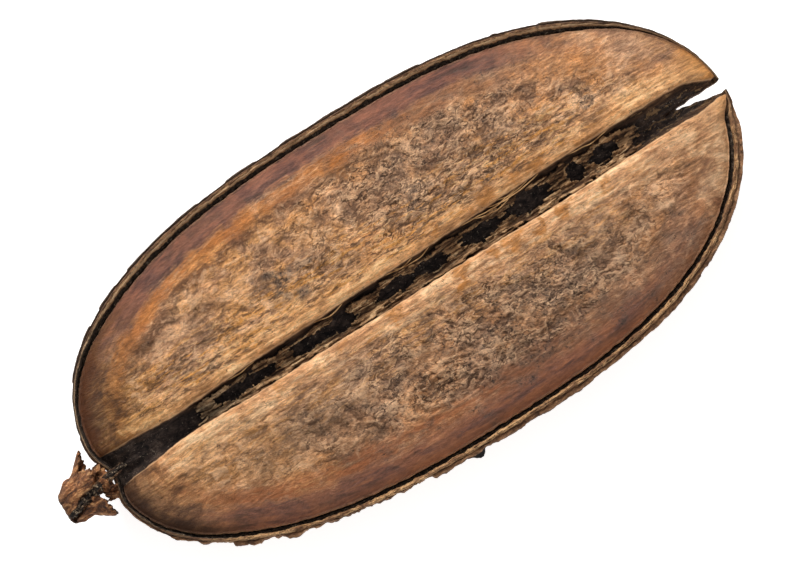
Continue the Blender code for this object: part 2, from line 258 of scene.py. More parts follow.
def giveWall(piece, thickness):
    wall = piece.modifiers.new("wall", "SOLIDIFY")
    wall.thickness = thickness * mm
    wall.offset = -1


def applyModifiers(piece):
    graph = bpy.context.evaluated_depsgraph_get()
    piece.data = bpy.data.meshes.new_from_object(piece.evaluated_get(graph), depsgraph=graph)
    piece.modifiers.clear()


# Shader maths


def paint(red, green, blue):  # a screen colour, 0 to 255, as the shader wants it
    parts = [part / 255 for part in (red, green, blue)]
    linear = [part / 12.92 if part <= 0.04045 else ((part + 0.055) / 1.055) ** 2.4 for part in parts]
    return (*linear, 1)


class Wire:  # a socket, so that shader maths reads as Python
    def __init__(self, tree, socket=None):
        self.tree = tree
        self.socket = socket

    def node(self, kind, settings=None, sockets=None, output=0):
        made = self.tree.nodes.new("ShaderNode" + kind)
        for name, value in (settings or {}).items():
            if name == "stops":
                ramp = made.color_ramp
                while len(ramp.elements) < len(value):
                    ramp.elements.new(0.5)
                for element, (place, colour) in zip(ramp.elements, value):
                    element.position = place
                    element.color = colour
            else:
                setattr(made, name, value)
        for name, value in (sockets or {}).items():
            if isinstance(value, Wire):
                self.tree.links.new(value.socket, made.inputs[name])
            else:
                made.inputs[name].default_value = value
        return Wire(self.tree, made.outputs[output])

    def maths(self, operation, *values):
        return self.node("Math", {"operation": operation}, dict(enumerate(values)))

    def __add__(self, other):
        return self.maths("ADD", self, other)

    def __sub__(self, other):
        return self.maths("SUBTRACT", self, other)

    def __rsub__(self, other):
        return self.maths("SUBTRACT", other, self)

    def __mul__(self, other):
        return self.maths("MULTIPLY", self, other)

    __radd__ = __add__
    __rmul__ = __mul__

    def between(self, low, high):  # 0 at low, 1 at high, eased
        settings = {"interpolation_type": "SMOOTHSTEP"}
        return self.node("MapRange", settings, {"Value": self, "From Min": low, "From Max": high})

    def below(self, low, high):  # 1 at low, 0 at high
        return 1 - self.between(low, high)

    def window(self, start, full, fade, end):  # 1 from full to fade, 0 outside start and end
        return self.between(start, full) * self.below(fade, end)

    def ramp(self, places, colours):
        stops = [(place, paint(*colour)) for place, colour in zip(places, colours)]
        return self.node("ValToRGB", {"stops": stops}, {"Fac": self})

    def over(self, base, colour):  # colour laid over base where this mask is 1
        below, above = (part if isinstance(part, Wire) else paint(*part) for part in (base, colour))
        return self.node("Mix", {"data_type": "RGBA"}, {0: self, 6: below, 7: above}, output=2)

    def shade(self, colour):  # the colour multiplied by this grey value
        settings = {"data_type": "RGBA", "blend_type": "MULTIPLY"}
        return self.node("Mix", settings, {0: 1.0, 6: colour, 7: self.placed(self, self, self)}, output=2)

    def coated(self, *coats):  # masks and their colours laid on this colour in turn, None where it is shaded
        tone = self
        for mask, colour in coats:
            tone = mask.shade(tone) if colour is None else mask.over(tone, colour)
        return tone

    def placed(self, x, y=0.0, z=0.0):
        return self.node("CombineXYZ", {}, {0: x, 1: y, 2: z})

    def axis(self, number):
        return self.node("SeparateXYZ", {}, {0: self}, output=number)

    def vector(self, operation, value):
        second = "Scale" if operation == "SCALE" else 1
        return self.node("VectorMath", {"operation": operation}, {0: self, second: value})

    def stretched(self, x, y, z):
        return self.vector("MULTIPLY", (x, y, z))

    def clouds(self, size, detail=6.0, rough=0.6, warp=0.0, offset=0.0):  # noise on this place, size in mm
        sockets = {"Vector": self.vector("ADD", (offset, offset, offset)), "Scale": 1 / size}
        sockets.update({"Detail": detail, "Roughness": rough, "Distortion": warp})
        return self.node("TexNoise", {}, sockets)

    def swirled(self, size, reach):  # this place pushed about by noise, in mm
        push = self.node("TexNoise", {}, {"Vector": self, "Scale": 1 / size, "Detail": 3.0}, output=1)
        return self.vector("ADD", push.vector("SUBTRACT", (0.5, 0.5, 0.5)).vector("SCALE", reach))

    def attributes(self, *names):
        return [self.node("Attribute", {"attribute_name": name}, {}, output="Fac") for name in names]


def newFinish(name, roughness):
    material = bpy.data.materials.new(name)
    material.use_nodes = True
    shader = material.node_tree.nodes["Principled BSDF"]
    shader.inputs["Roughness"].default_value = roughness
    shader.inputs["Specular IOR Level"].default_value = 0.35
    raw = Wire(material.node_tree).node("TexCoord", {}, {}, output="Object")
    return material, raw.vector("SCALE", 1 / mm).vector("SUBTRACT", tuple(podPlace))


def finishWith(material, colour, height=None, bumpDistance=0.1, roughness=None):
    tree = material.node_tree
    sockets = {"Base Color": colour, "Roughness": roughness}
    if height is not None:
        bumps = {"Strength": 1.0, "Distance": bumpDistance * mm, "Height": height}
        sockets["Normal"] = height.node("Bump", {}, bumps)
    for name, wire in sockets.items():
        if wire is not None:
            tree.links.new(wire.socket, tree.nodes["Principled BSDF"].inputs[name])
    return material


# Linings

lining = {
    "along": 600,
    "topRows": 136,
    "edgeRows": 4,
    "underRows": 9,
    "thickness": 1.0,
    "bevelRise": 1.75,
    "bevelRun": 1.7,
    "crownRise": 1.25,
    "crownRun": 15.0,
    "lipDrop": 0.35,
    "lipRun": 0.9,
    "rimReaches": (0.24, 0.16),  # how far the left and right lining reach into the crack
    "edgeWander": 0.11,
    "bandWidths": (3.0, 3.2),  # the smooth band along the rim, left and right
    "swellHeight": 0.24,
    "creases": (  # length and width of the folds, seed, half width of a crease, share of the depth
        (6.5, 2.1, 4.0, 0.12, 0.75),
        (3.0, 1.1, 70.0, 0.1, 0.6),
        (1.5, 0.6, 90.0, 0.09, 0.45),
    ),
    "creaseDepth": 0.17,
    "puckerHeight": 0.13,
    "flakeHeight": 0.045,
    "quiltHeight": 0.16,
    "fibreHeight": 0.075,
    "seedPrint": {"middle": (-3.0, -14.0), "halfSize": (6.5, 2.9), "depth": 0.1},
}


def liningHeight(x, y, inset):
    fromLip = np.abs(y - slotMiddle(x)) - slotHalf(x)
    lip = np.clip(1 - fromLip / lining["lipRun"], 0, 1) ** 2
    bevel = lining["bevelRise"] * (1 - np.exp(-np.maximum(inset, 0) / lining["bevelRun"]))
    crown = lining["crownRise"] * smooth(inset / lining["crownRun"])
    return pod["liningEdgeZ"] + bevel + crown - lining["lipDrop"] * lip


def liningEdges(side, stations):
    points, _, inward, _ = outline(4800)
    wander = lining["edgeWander"] * grain(*points.T, 1.1, 40.0)
    depth = liningStart * rimShare(*points.T) - lining["rimReaches"][side < 0] + wander
    edge = points + inward * depth[:, None]
    aboveLip = side * (edge[:, 1] - slotMiddle(edge[:, 0])) - slotHalf(edge[:, 0])
    rimEdge = edge[aboveLip > 0.12]
    rimEdge = rimEdge[np.argsort(-side * np.arctan2(rimEdge[:, 1], rimEdge[:, 0]))[::-1]]
    run = runAlong(rimEdge)
    at = np.linspace(0, 1, stations)
    at = (0.8 * at + 0.2 * smooth(at)) * run[-1]
    rimEdge = np.column_stack([np.interp(at, run, rimEdge[:, k]) for k in (0, 1)])
    falling = np.minimum.accumulate(rimEdge[:, 0]) - 1.44 * np.linspace(0, 1, stations)
    share = (falling - falling[-1]) / (falling[0] - falling[-1])
    x = pod["slotEnds"][0] + 0.5 + share * (pod["slotEnds"][1] - pod["slotEnds"][0] - 0.7)
    ragged = 0.1 * grain(x, 0 * x + side, 1.3, 44.0, 4)
    return rimEdge, besideSlot(x, side * (slotHalf(x) + ragged)), at


def lineDistance(value, x, y):  # millimetres to the nearest line where this noise is nought
    slopes = []
    for axis in (0, 1):
        step = np.hypot(np.gradient(x, axis=axis), np.gradient(y, axis=axis)) + 0.01
        slopes.append(np.gradient(value, axis=axis) / step)
    return np.abs(value) / (np.hypot(*slopes) + 0.03)


def liningRelief(x, y, run, inset, fromSlot, side):
    # The low swells of the solids, then creases, puckers and fibres over where the seeds lay
    swellMask = smooth((inset - 2.5) / 4) * smooth((fromSlot - 1) / 4)
    swells = lining["swellHeight"] * swellMask * (1.6 * swell(x, y, 2.6, 3.1) + 0.8 * swell(x, y, 6.0, 8.4))

    u = x + 2.2 * grain(x, y, 6.0, 11.0, 3) + 0.5 * grain(x, y, 1.5, 61.0, 2)
    v = y + 1.5 * grain(x, y, 5.0, 12.5, 3) + 0.5 * grain(x, y, 1.5, 63.0, 2)
    inner = smooth((inset - lining["bandWidths"][side < 0]) / 3.2) * smooth((fromSlot - 0.5) / 3.4)
    busy = bump(x, 9, 20) * bump(y, 11, 8) if side > 0 else bump(x, 5, 19) * bump(y, -12, 7)
    place = (0.3 + 0.65 * busy) * (1 + 0.6 * grain(x, y, 7.0, 2.0 + side, 3)) * inner
    crease = 0 * x
    for length, width, seed, reach, depth in lining["creases"]:
        field = grain(u, v, (length, width, 1), seed + 3 * side, 3)
        where = smooth(grain(x, y, (0.6 * length, 0.5 * length, 1), seed + 55, 3) / 0.2 + 0.42)
        away = lineDistance(field, x, y)
        lip = bump(away, 2.2 * reach, 1.4 * reach) * (field > 0)
        crease = crease + depth * where * (bump(away, 0, reach) - 0.35 * lip)
    crease = crease * place
    pucker = grain(u, v, (1.7, 1.0), 15.0 + side, 4)
    flaky = grain(u, v, (0.9, 0.42), 55.0 + side, 3)

    seed = lining["seedPrint"]
    (seedX, seedY), (seedLength, seedWidth) = seed["middle"], seed["halfSize"]
    fromSeed = np.hypot((x - seedX) / seedLength, (y - seedY) / seedWidth)
    fromSeed = fromSeed + 0.1 * grain(x, y, 3.0, 90.0, 3)
    rings = np.cos(2 * math.pi * 3.1 * fromSeed) * bump(fromSeed, 0.85, 0.55) * inner

    quilt = grain(u, v, (3.6, 1.7), 35.0 + side, 2)
    relief = lining["puckerHeight"] * (0.4 * inner + place) * pucker + lining["flakeHeight"] * flaky * inner
    relief = relief + lining["quiltHeight"] * quilt * inner
    relief = relief - lining["creaseDepth"] * crease + seed["depth"] * rings
    fibres = grain(x + 0.5 * (u - x), y, (4.2, 0.36), 21.0, 3) * (0.35 + 0.8 * bump(fromSlot, 3.0, 3.0))
    rimFibres = grain(run + 0 * x, inset, (5.0, 0.5), 25.0, 3) * 0.4 * (1 - inner) * smooth((x + 40) / 8)
    relief = relief + lining["fibreHeight"] * (fibres + rimFibres) * smooth(inset / 1.5)
    fold = (0.4 * pucker + 0.3 * flaky + 0.28 * quilt + 0.2 * rings) * inner - crease
    return swells + relief, fold, place


def stainMarks(x, y, fromSlot):
    # Where mildew and amber stains lie: middle, half length, half width, strength
    mildewSpots = (
        (-14.6, 8.3, 3.4, 1.1, 1.0), (-13.0, 5.6, 2.1, 0.7, 0.8), (4.7, 8.2, 2.0, 1.5, 0.9),
        (30.0, 7.2, 1.3, 0.8, 1.0), (16.0, 12.5, 10.0, 4.5, 0.5), (5.0, 17.0, 8.0, 2.2, 0.42),
        (27.0, 13.0, 6.0, 3.0, 0.32), (-1.0, 12.0, 5.0, 3.0, 0.3), (-3.0, -13.5, 6.0, 3.0, 0.5),
        (8.0, -12.0, 10.0, 4.5, 0.6), (-22.0, -9.0, 9.0, 3.5, 0.35), (20.0, -9.0, 7.0, 3.0, 0.3),
        (24.0, 15.5, 9.0, 3.5, 0.35), (33.0, 11.0, 4.0, 3.0, 0.25), (8.0, -12.0, 24.0, 6.5, 0.5),
        (7.0, 12.5, 6.0, 4.5, 0.5),
    )
    mildew = 0 * x
    ragged = 1 + 0.9 * grain(x, y, (2.6, 1.8), 33.0, 5)
    for middleX, middleY, halfLength, halfWidth, strength in mildewSpots:
        away = np.hypot((x - middleX) / halfLength, (y - middleY) / halfWidth)
        mildew = np.maximum(mildew, strength * smooth(1.3 * ragged - away))
    amberSpots = (
        (5.8, 0.7, 1.0), (10.4, 0.4, 0.7), (13.4, 1.1, 1.0), (17.2, 0.7, 0.8), (20.4, 0.9, 0.9),
        (-4.0, 0.8, 0.5), (-12.0, 0.6, 0.4), (27.0, 0.9, 0.5), (-21.0, 0.9, 0.4),
    )
    slanted = x + 0.35 * (np.abs(y) - 2) + 1.3 * grain(x, y, 1.6, 36.0, 4)
    amber = sum(strength * bump(slanted, middle, half) for middle, half, strength in amberSpots)
    reach = bump(fromSlot + 1.2 * grain(x, y, 2.0, 38.0, 3), 0.8, 1.7)
    return mildew, np.clip(1.5 * amber * reach, 0, 1) * np.where(y < 0, 1, 0.6)


def makeLining(name, side):
    rimEdge, slotEdge, run = liningEdges(side, lining["along"])
    across = np.linspace(0, 1, lining["topRows"])
    shares = 0.62 * across + 0.38 * across**2, np.linspace(1, 0, lining["underRows"])
    top, under = (np.array([mixed(rimEdge, slotEdge, w) for w in rows]) for rows in shares)
    x, y = top[..., 0], top[..., 1]
    inset = liningInset(x, y)
    fromSlot = np.abs(y - slotMiddle(x)) - slotHalf(x)
    relief, fold, busy = liningRelief(x, y, run, inset, fromSlot, side)
    mildew, amber = stainMarks(x, y, fromSlot)
    topZ = liningHeight(x, y, inset) + relief
    underPlace = under[..., 0], under[..., 1]
    underZ = liningHeight(*underPlace, liningInset(*underPlace)) - lining["thickness"]

    def rolledEdge(upper, upperZ, lower, lowerZ, outward):
        rows = []
        for step in np.linspace(0, 1, lining["edgeRows"] + 2)[1:-1]:
            xy = mixed(upper, lower, step) + np.array([0.0, outward]) * 0.1 * arch(step)
            rows.append(np.column_stack([xy, mixed(upperZ, lowerZ, step)]))
        return np.array(rows)

    slotRoll = rolledEdge(top[-1], topZ[-1], under[0], underZ[0], -side)
    rimRoll = rolledEdge(under[-1], underZ[-1], top[0], topZ[0], side)
    coords = np.concatenate([np.dstack([top, topZ]), slotRoll, np.dstack([under, underZ]), rimRoll])
    coords = np.concatenate([coords, coords[:1]])
    shape = coords.shape[:2]
    edgeLine = bump(np.linalg.norm(top - top[:1], axis=2), 0, 0.16)
    marks = {"fromRim": inset, "fromSlot": fromSlot, "fold": fold, "mildew": mildew, "amber": amber}
    marks.update({"edgeLine": edgeLine, "busy": busy})
    marks = {mark: np.pad(values, ((0, shape[0] - len(top)), (0, 0))) for mark, values in marks.items()}
    marks["alongRim"] = np.broadcast_to(run, shape)
    marks["under"] = np.zeros(shape)
    marks["under"][len(top) : -lining["edgeRows"]] = 1
    piece = gridSheet(name, coords, marks)
    piece.data.materials.append(liningFinish(name + "Finish", side))
    return piece


def liningFinish(name, side):
    looks = {  # the left lining's, then the right lining's
        "mottle": (
            ((124, 84, 56), (168, 120, 82), (200, 148, 104), (236, 188, 146)),
            ((114, 80, 56), (152, 111, 80), (182, 136, 100), (220, 176, 138)),
        ),
        "pale": (
            ((164, 112, 64), (224, 164, 108), (254, 208, 152)),
            ((178, 124, 82), (234, 176, 126), (255, 214, 166)),
        ),
        "stalk": (
            ((92, 62, 34), (166, 112, 56), (220, 166, 100)),
            ((96, 64, 38), (160, 112, 68), (214, 160, 102)),
        ),
        "tip": (
            ((120, 80, 45), (168, 117, 68), (198, 146, 94)),
            ((170, 122, 82), (206, 158, 112), (232, 190, 146)),
        ),
        "band": ((94, 59, 52), (124, 79, 64)),
        "bandLight": ((134, 84, 65), (160, 100, 68)),
        "orange": ((168, 100, 44), (152, 88, 50)),
        "besideBand": ((134, 90, 64), (108, 70, 50)),
        "corner": ((66, 38, 16), (60, 36, 18)),
        "rimStain": ((84, 44, 15), (66, 38, 19)),
        "warmth": (0.5, 0.28),
        "slotBand": (4.0, 4.8),
        "fibres": (1.0, 0.55),
        "orangeEnds": ((1.2, 2.6), (1.0, 3.4)),
        "foldShade": (0.9, 0),
        "brownDepth": ((4.0, 6.2), (5.0, 7.6)),
        "brownSpan": ((5, 12, 24, 31), (-3, 6, 17, 24)),
        "bandFade": (((20, 34), 0.75), ((18, 33), 0.6)),
        "cornerSpan": ((-44.5, -34), (-45, -36)),
        "tipSpan": ((39.5, 44.5), (34, 41)),
    }
    look = {part: pair[side < 0] for part, pair in looks.items()}
    material, place = newFinish(name, 0.62)
    marks = ("fromRim", "fromSlot", "fold", "mildew", "amber", "alongRim", "busy", "edgeLine", "under")
    inset, fromSlot, fold, mildew, amber, alongRim, busy, edgeLine, under = place.attributes(*marks)
    flat = place.stretched(1, 1, 0)
    x = place.axis(0)
    flow = place.placed(alongRim * 0.15, inset)
    bandWidth = lining["bandWidths"][side < 0]

    # Mottled tan, coarse to fine, with hair-fine winding streaks
    mottle = flat.stretched(0.7, 1, 1).clouds(3.0, 7, 0.68, 0.8)
    hue = flat.clouds(6.0, 4, 0.6, 0.5, 51)
    golden = x.below(-16, 2) * hue.between(0.44, 0.54) if side > 0 else x.below(-30, -12) * 0.7
    broad = flat.swirled(5.0, 3.0).clouds(6.5, 4, 0.55, 0.4, 95)
    streams = flat.swirled(3.4, 2.0).stretched(0.38, 1.25, 1)
    hairs = streams.clouds(0.8, 7, 0.76, 0.2, 61)
    fuzz = streams.stretched(1.2, 1, 1).clouds(0.3, 4, 0.76, 0.3, 67)
    tone = mottle.ramp((0.36, 0.46, 0.54, 0.63), look["mottle"]).coated(
        (hue.between(0.5, 0.6) * look["warmth"], (206, 136, 72)),
        (hue.below(0.38, 0.5) * 0.5, (140, 108, 86)),
        (golden * 0.45, (212, 154, 90)),
        (broad.between(0.38, 0.62) * 0.3 + 0.85, None),
        (hairs.between(0.53, 0.66) * 0.3, (240, 196, 154)),
        (hairs.below(0.38, 0.45) * 0.5, (112, 74, 46)),
        (fuzz.between(0.55, 0.64) * 0.26, (242, 196, 154)),
        (fuzz.below(0.38, 0.43) * 0.6, (84, 54, 35)),
    )

    # Pale band beside the slot, with lengthwise fibres and amber stains
    edgeWander = flat.stretched(0.3, 1, 1).clouds(1.6, 4, 0.6, 0, 3)
    slotBand = (fromSlot + (edgeWander - 0.5) * 6).below(0.4, look["slotBand"])
    paleTone = flat.swirled(4.0, 1.0).stretched(0.16, 1.2, 1).clouds(0.9, 8, 0.74, 0.2, 5)
    paleTone = paleTone + (hue - 0.5) * 0.3 + (mottle - 0.5) * 0.4
    fibres = flat.swirled(3.0, 0.8).stretched(0.2, 1.5, 1).clouds(0.9, 7, 0.74, 0.3, 11)
    fibreZone = fromSlot.window(0.4, 1.8, 5.0, 9.5) * look["fibres"] * (1 - x.between(24, 35) * 0.75)
    dashes = flat.swirled(2.0, 0.8).stretched(0.3, 1.3, 1).clouds(0.7, 6, 0.78, 0.4, 17)
    tone = tone.coated(
        (slotBand * 0.85, paleTone.ramp((0.38, 0.5, 0.61), look["pale"])),
        (fibres.between(0.51, 0.58) * fibreZone * 0.85, (200, 136, 62)),
        (dashes.between(0.52, 0.57) * fibreZone * 0.85, (82, 56, 36)),
        (dashes.below(0.4, 0.45) * fibreZone * 0.6, (240, 194, 138)),
        (amber.between(0.1, 0.8) * hairs.between(0.33, 0.5) * 0.8, (174, 112, 50)),
    )

    # Orange stripe with painted shade of a fold beside it, then the smooth purple-brown band along the rim
    wander = place.placed(alongRim * 0.25).clouds(1.2, 4, 0.6, 0, 9)
    streaks = flow.clouds(0.8, 8, 0.76, 0.4, 13)
    depth = inset + (wander - 0.5) * 3.0 + (mottle - 0.5) * 1.2 + (streaks - 0.5) * 3.0
    fromBand = depth - bandWidth
    orangeZone = fromBand.window(-0.7, 0.3, *look["orangeEnds"]) * (1 - x.between(4, 24) * 0.7)
    # painted shade of a fold beside the orange stripe, on the left lining only
    foldShade = fromBand.window(1.2, 2.1, 2.5, 3.9) * x.window(-40, -30, -8, 8)
    brownZone = depth.below(*look["brownDepth"]) * x.window(*look["brownSpan"]) * 0.6
    bandDark = tuple(0.66 * part for part in look["band"])
    bandTone = streaks.ramp((0.38, 0.5, 0.62), (bandDark, look["band"], look["bandLight"]))
    bandTone = (hue.between(0.48, 0.6) * 0.5).over(bandTone, look["bandLight"])
    if side < 0:
        paler = inset.below(0.5, 1.3) * 0.45 + fromBand.between(-1.6, -0.6) * 0.4
        bandTone = (paler * x.between(-30, -10)).over(bandTone, (170, 106, 68))
    fadeSpan, fade = look["bandFade"]
    bandMask = fromBand.below(-0.9, 0.5) * (1 - x.between(*fadeSpan) * fade)
    tone = tone.coated(
        (orangeZone * streaks.between(0.32, 0.56) * 0.85, look["orange"]),
        (foldShade * hairs.between(0.38, 0.54) * look["foldShade"], (98, 61, 37)),
        (brownZone * (0.6 + 0.4 * streaks.between(0.4, 0.56)), look["besideBand"]),
        (bandMask * 0.94, bandTone),
    )

    # Ochre or brown mottling and dark corners at the stalk end, and ochre at the tip
    ends = mottle + (hairs - 0.5) * 0.6
    stalkEnd = (x + (mottle - 0.5) * 26).below(-44, -31)
    cornerShade = (x + (ends - 0.5) * 10).below(*look["cornerSpan"]) * (fromSlot.between(0.3, 4) * 0.6 + 0.4)
    tipEnd = (x + (mottle - 0.5) * 12).between(*look["tipSpan"])
    tone = tone.coated(
        (stalkEnd * 0.8, ends.ramp((0.38, 0.5, 0.62), look["stalk"])),
        (cornerShade * 0.9, look["corner"]),
        (depth.below(0.3, 2.4) * x.below(-42, -30) * 0.95, look["rimStain"]),
        (tipEnd * 0.65, ends.ramp((0.36, 0.5, 0.62), look["tip"])),
        ((x + (mottle - 0.5) * 8).between(42, 46) * 0.6, (184, 124, 58)),
    )

    # Mildew in patches, and peppery specks in them
    haze = flat.clouds(1.1, 6, 0.75, 0.4, 37)
    motes = flat.clouds(0.45, 5, 0.8, 0.3, 41) + mildew * 0.05
    specks = flat.clouds(0.6, 5, 0.8, 0.2, 43)
    tone = tone.coated(
        (mildew * haze.between(0.34, 0.58) * 0.85, (98, 84, 74)),
        (motes.between(0.57, 0.62) * mildew.between(0.1, 0.6) * 0.9, (40, 33, 30)),
        (specks.between(0.61, 0.65) * (inset - bandWidth).between(0, 1.8) * 0.75, (56, 42, 34)),
    )

    # Long winding wrinkles, bumped into the surface, with painted shade along each crease and a painted
    # highlight on one lip
    bent = flat.swirled(3.6, 2.6).stretched(0.5, 1.1, 1)
    wrinkled = busy.between(0.15, 0.8)
    wrinkles = 0
    for size, offset, reach in ((2.8, 71, 0.014), (1.4, 77, 0.022)):
        field = bent.clouds(size, 4, 0.56, 0.1, offset) - 0.5
        cluster = flat.clouds(2.6, 4, 0.65, 0.5, offset + 10).between(0.45, 0.56) * wrinkled
        line = field.maths("ABSOLUTE", field).below(0, reach) * cluster
        lip = field.window(reach, 1.6 * reach, 2 * reach, 4 * reach) * cluster
        # painted highlight on one lip of each wrinkle, painted shade along its crease
        tone = tone.coated((lip * 0.4, (236, 192, 150)), (line * 0.8, (72, 47, 31)))
        wrinkles = line + wrinkles

    # Fine grain everywhere, painted shade in the folds, painted highlights on their crests and on the edges
    fine = flat.stretched(0.65, 1, 1).clouds(0.8, 7, 0.82, 0.6, 7)
    strands = flat.swirled(3.0, 1.2).stretched(0.3, 1.4, 1).clouds(0.4, 5, 0.8, 0.2, 49)
    grit = flat.stretched(0.8, 1, 1).clouds(0.3, 4, 0.8, 0.3, 47)
    grit = grit * wrinkled + strands * (1 - wrinkled)
    grainy = fine.between(0.36, 0.64) * 0.32 + grit.between(0.39, 0.61) * 0.52
    # Painted highlight along the lining's edge at the crack
    edgeHighlight = edgeLine * (x.between(-38, -22) * 0.8 + 0.2) * hairs.between(0.38, 0.54)
    cut = place.stretched(0.25, 1, 2.5).clouds(0.6, 6, 0.76, 0.3, 91)
    tone = tone.coated(
        (grainy * (1 - bandMask * 0.3) + (bandMask * 0.12 + 0.65), None),
        # painted shade in the creases of the relief
        ((fold * -1).between(0.06, 0.55) * 0.66, (82, 54, 36)),
        # painted highlight on the crests of the puckers and quilting
        (fold.between(0.04, 0.34) * 0.4, (236, 190, 148)),
        # painted highlight along the lining's edge at the crack
        (edgeHighlight * 0.6, (186, 142, 112)),
        # painted highlight along the slot's lip
        (fromSlot.below(0.05, 0.2) * 0.5, (226, 182, 138)),
        (under * 0.85, cut.ramp((0.38, 0.5, 0.62), ((46, 31, 22), (96, 66, 44), (158, 116, 78)))),
    )
    height = hairs * 1.3 + fuzz * 0.7 + fine * 0.7 + grit * 0.8 - wrinkles * 1.2
    height = height + fibres * fibreZone * 0.6 + streaks * bandMask * 0.4
    return finishWith(material, tone, height, 0.2, bandMask * -0.14 + 0.68)


# Woody shell

shell = {
    "around": 1040,
    "underRows": 30,
    "wallRows": 12,
    "ledgeRows": 6,
    "rimRows": 14,
    "crackRows": 4,
    "crackBedRows": 5,
    "bedRows": 6,
    "grooveRows": 10,
    "floorRows": 5,
    "flatSpot": 0.22,
    "undersidePower": 2.2,
    "undersideLumps": 0.55,
    "undersideLumpLength": 3.2,
    "ledgeZ": 7.65,
    "rimTrims": (0.28, 0.16),  # how much narrower the rim is than the solid's, left edge, right edge
    "crackBedZ": 7.15,
    "crackBedEnds": (1.46, 1.56),  # the lit floor of the crack, and where it drops under the lining
    "crackEnds": (43.6, -3.8, -43.4),  # where it closes: x at the left tip, y at the right tip, x at the stalk
    "crackEndRun": 1.4,
    "ledgeWidths": (0.34, 0.62),  # left edge, right edge
    "rimProfile": ((0.0, -0.7), (0.1, -0.14), (0.45, 0.0), (0.78, -0.12), (0.9, -0.35), (1.0, -0.9)),
    "roughEnds": (-43.0, -5.0),  # where the right edge's bark flakes off
    "flakeDepth": 0.5,
    "chipDepth": 0.11,
    "fissureDepth": 0.42,
    "scrap": (-4.3, 1.1, 0.5),  # middle, half length, how far it sticks out
    "lipOverhang": 0.25,
    "ribbonRise": 0.7,
    "ribbonLength": 15.0,
    "floorReach": 0.985,  # of the slot's length
    "floorRoughness": 0.15,
    "leastWall": 0.4,
    "splitZ": (-3, 15),
    "splitHalves": (  # place along the pod, half width
        (37.8, 0.02), (38.3, 0.14), (38.8, 0.02), (39.3, 0.03), (39.7, 0.2), (41.2, 0.38), (43, 0.54),
        (46, 0.76), (48.5, 0.85),
    ),
}


def barkEdge(points, inward):
    # The outline with its torn bark: chunks broken off in steps on the right, fine nicks on the left
    x, y = points.T
    right = onRight(y)
    low, high = shell["roughEnds"]
    flaky = right * smooth((x - low) / 4) * (1 - smooth((x - high) / 5))
    wave = pod["barkRoughness"] * swell(x, y, pod["barkGrain"], 5.2)
    chunks = smooth(grain(x, y, 6.0, 3.0, 2) / 0.2 + 0.4) + 0.3 * grain(x, y, 2.0, 7.0, 3)
    nicks = grain(x, y, 0.6, 8.0, 4)
    ledges = smooth((grain(x, y, 6.0, 13.0, 2) - 0.16) / 0.05)
    depth = 0.7 * wave + shell["flakeDepth"] * flaky * (chunks + 0.1)
    depth = depth + shell["chipDepth"] * (0.35 + flaky) * nicks + 0.14 * ledges * (1 - flaky)
    return points + inward * depth[:, None], flaky


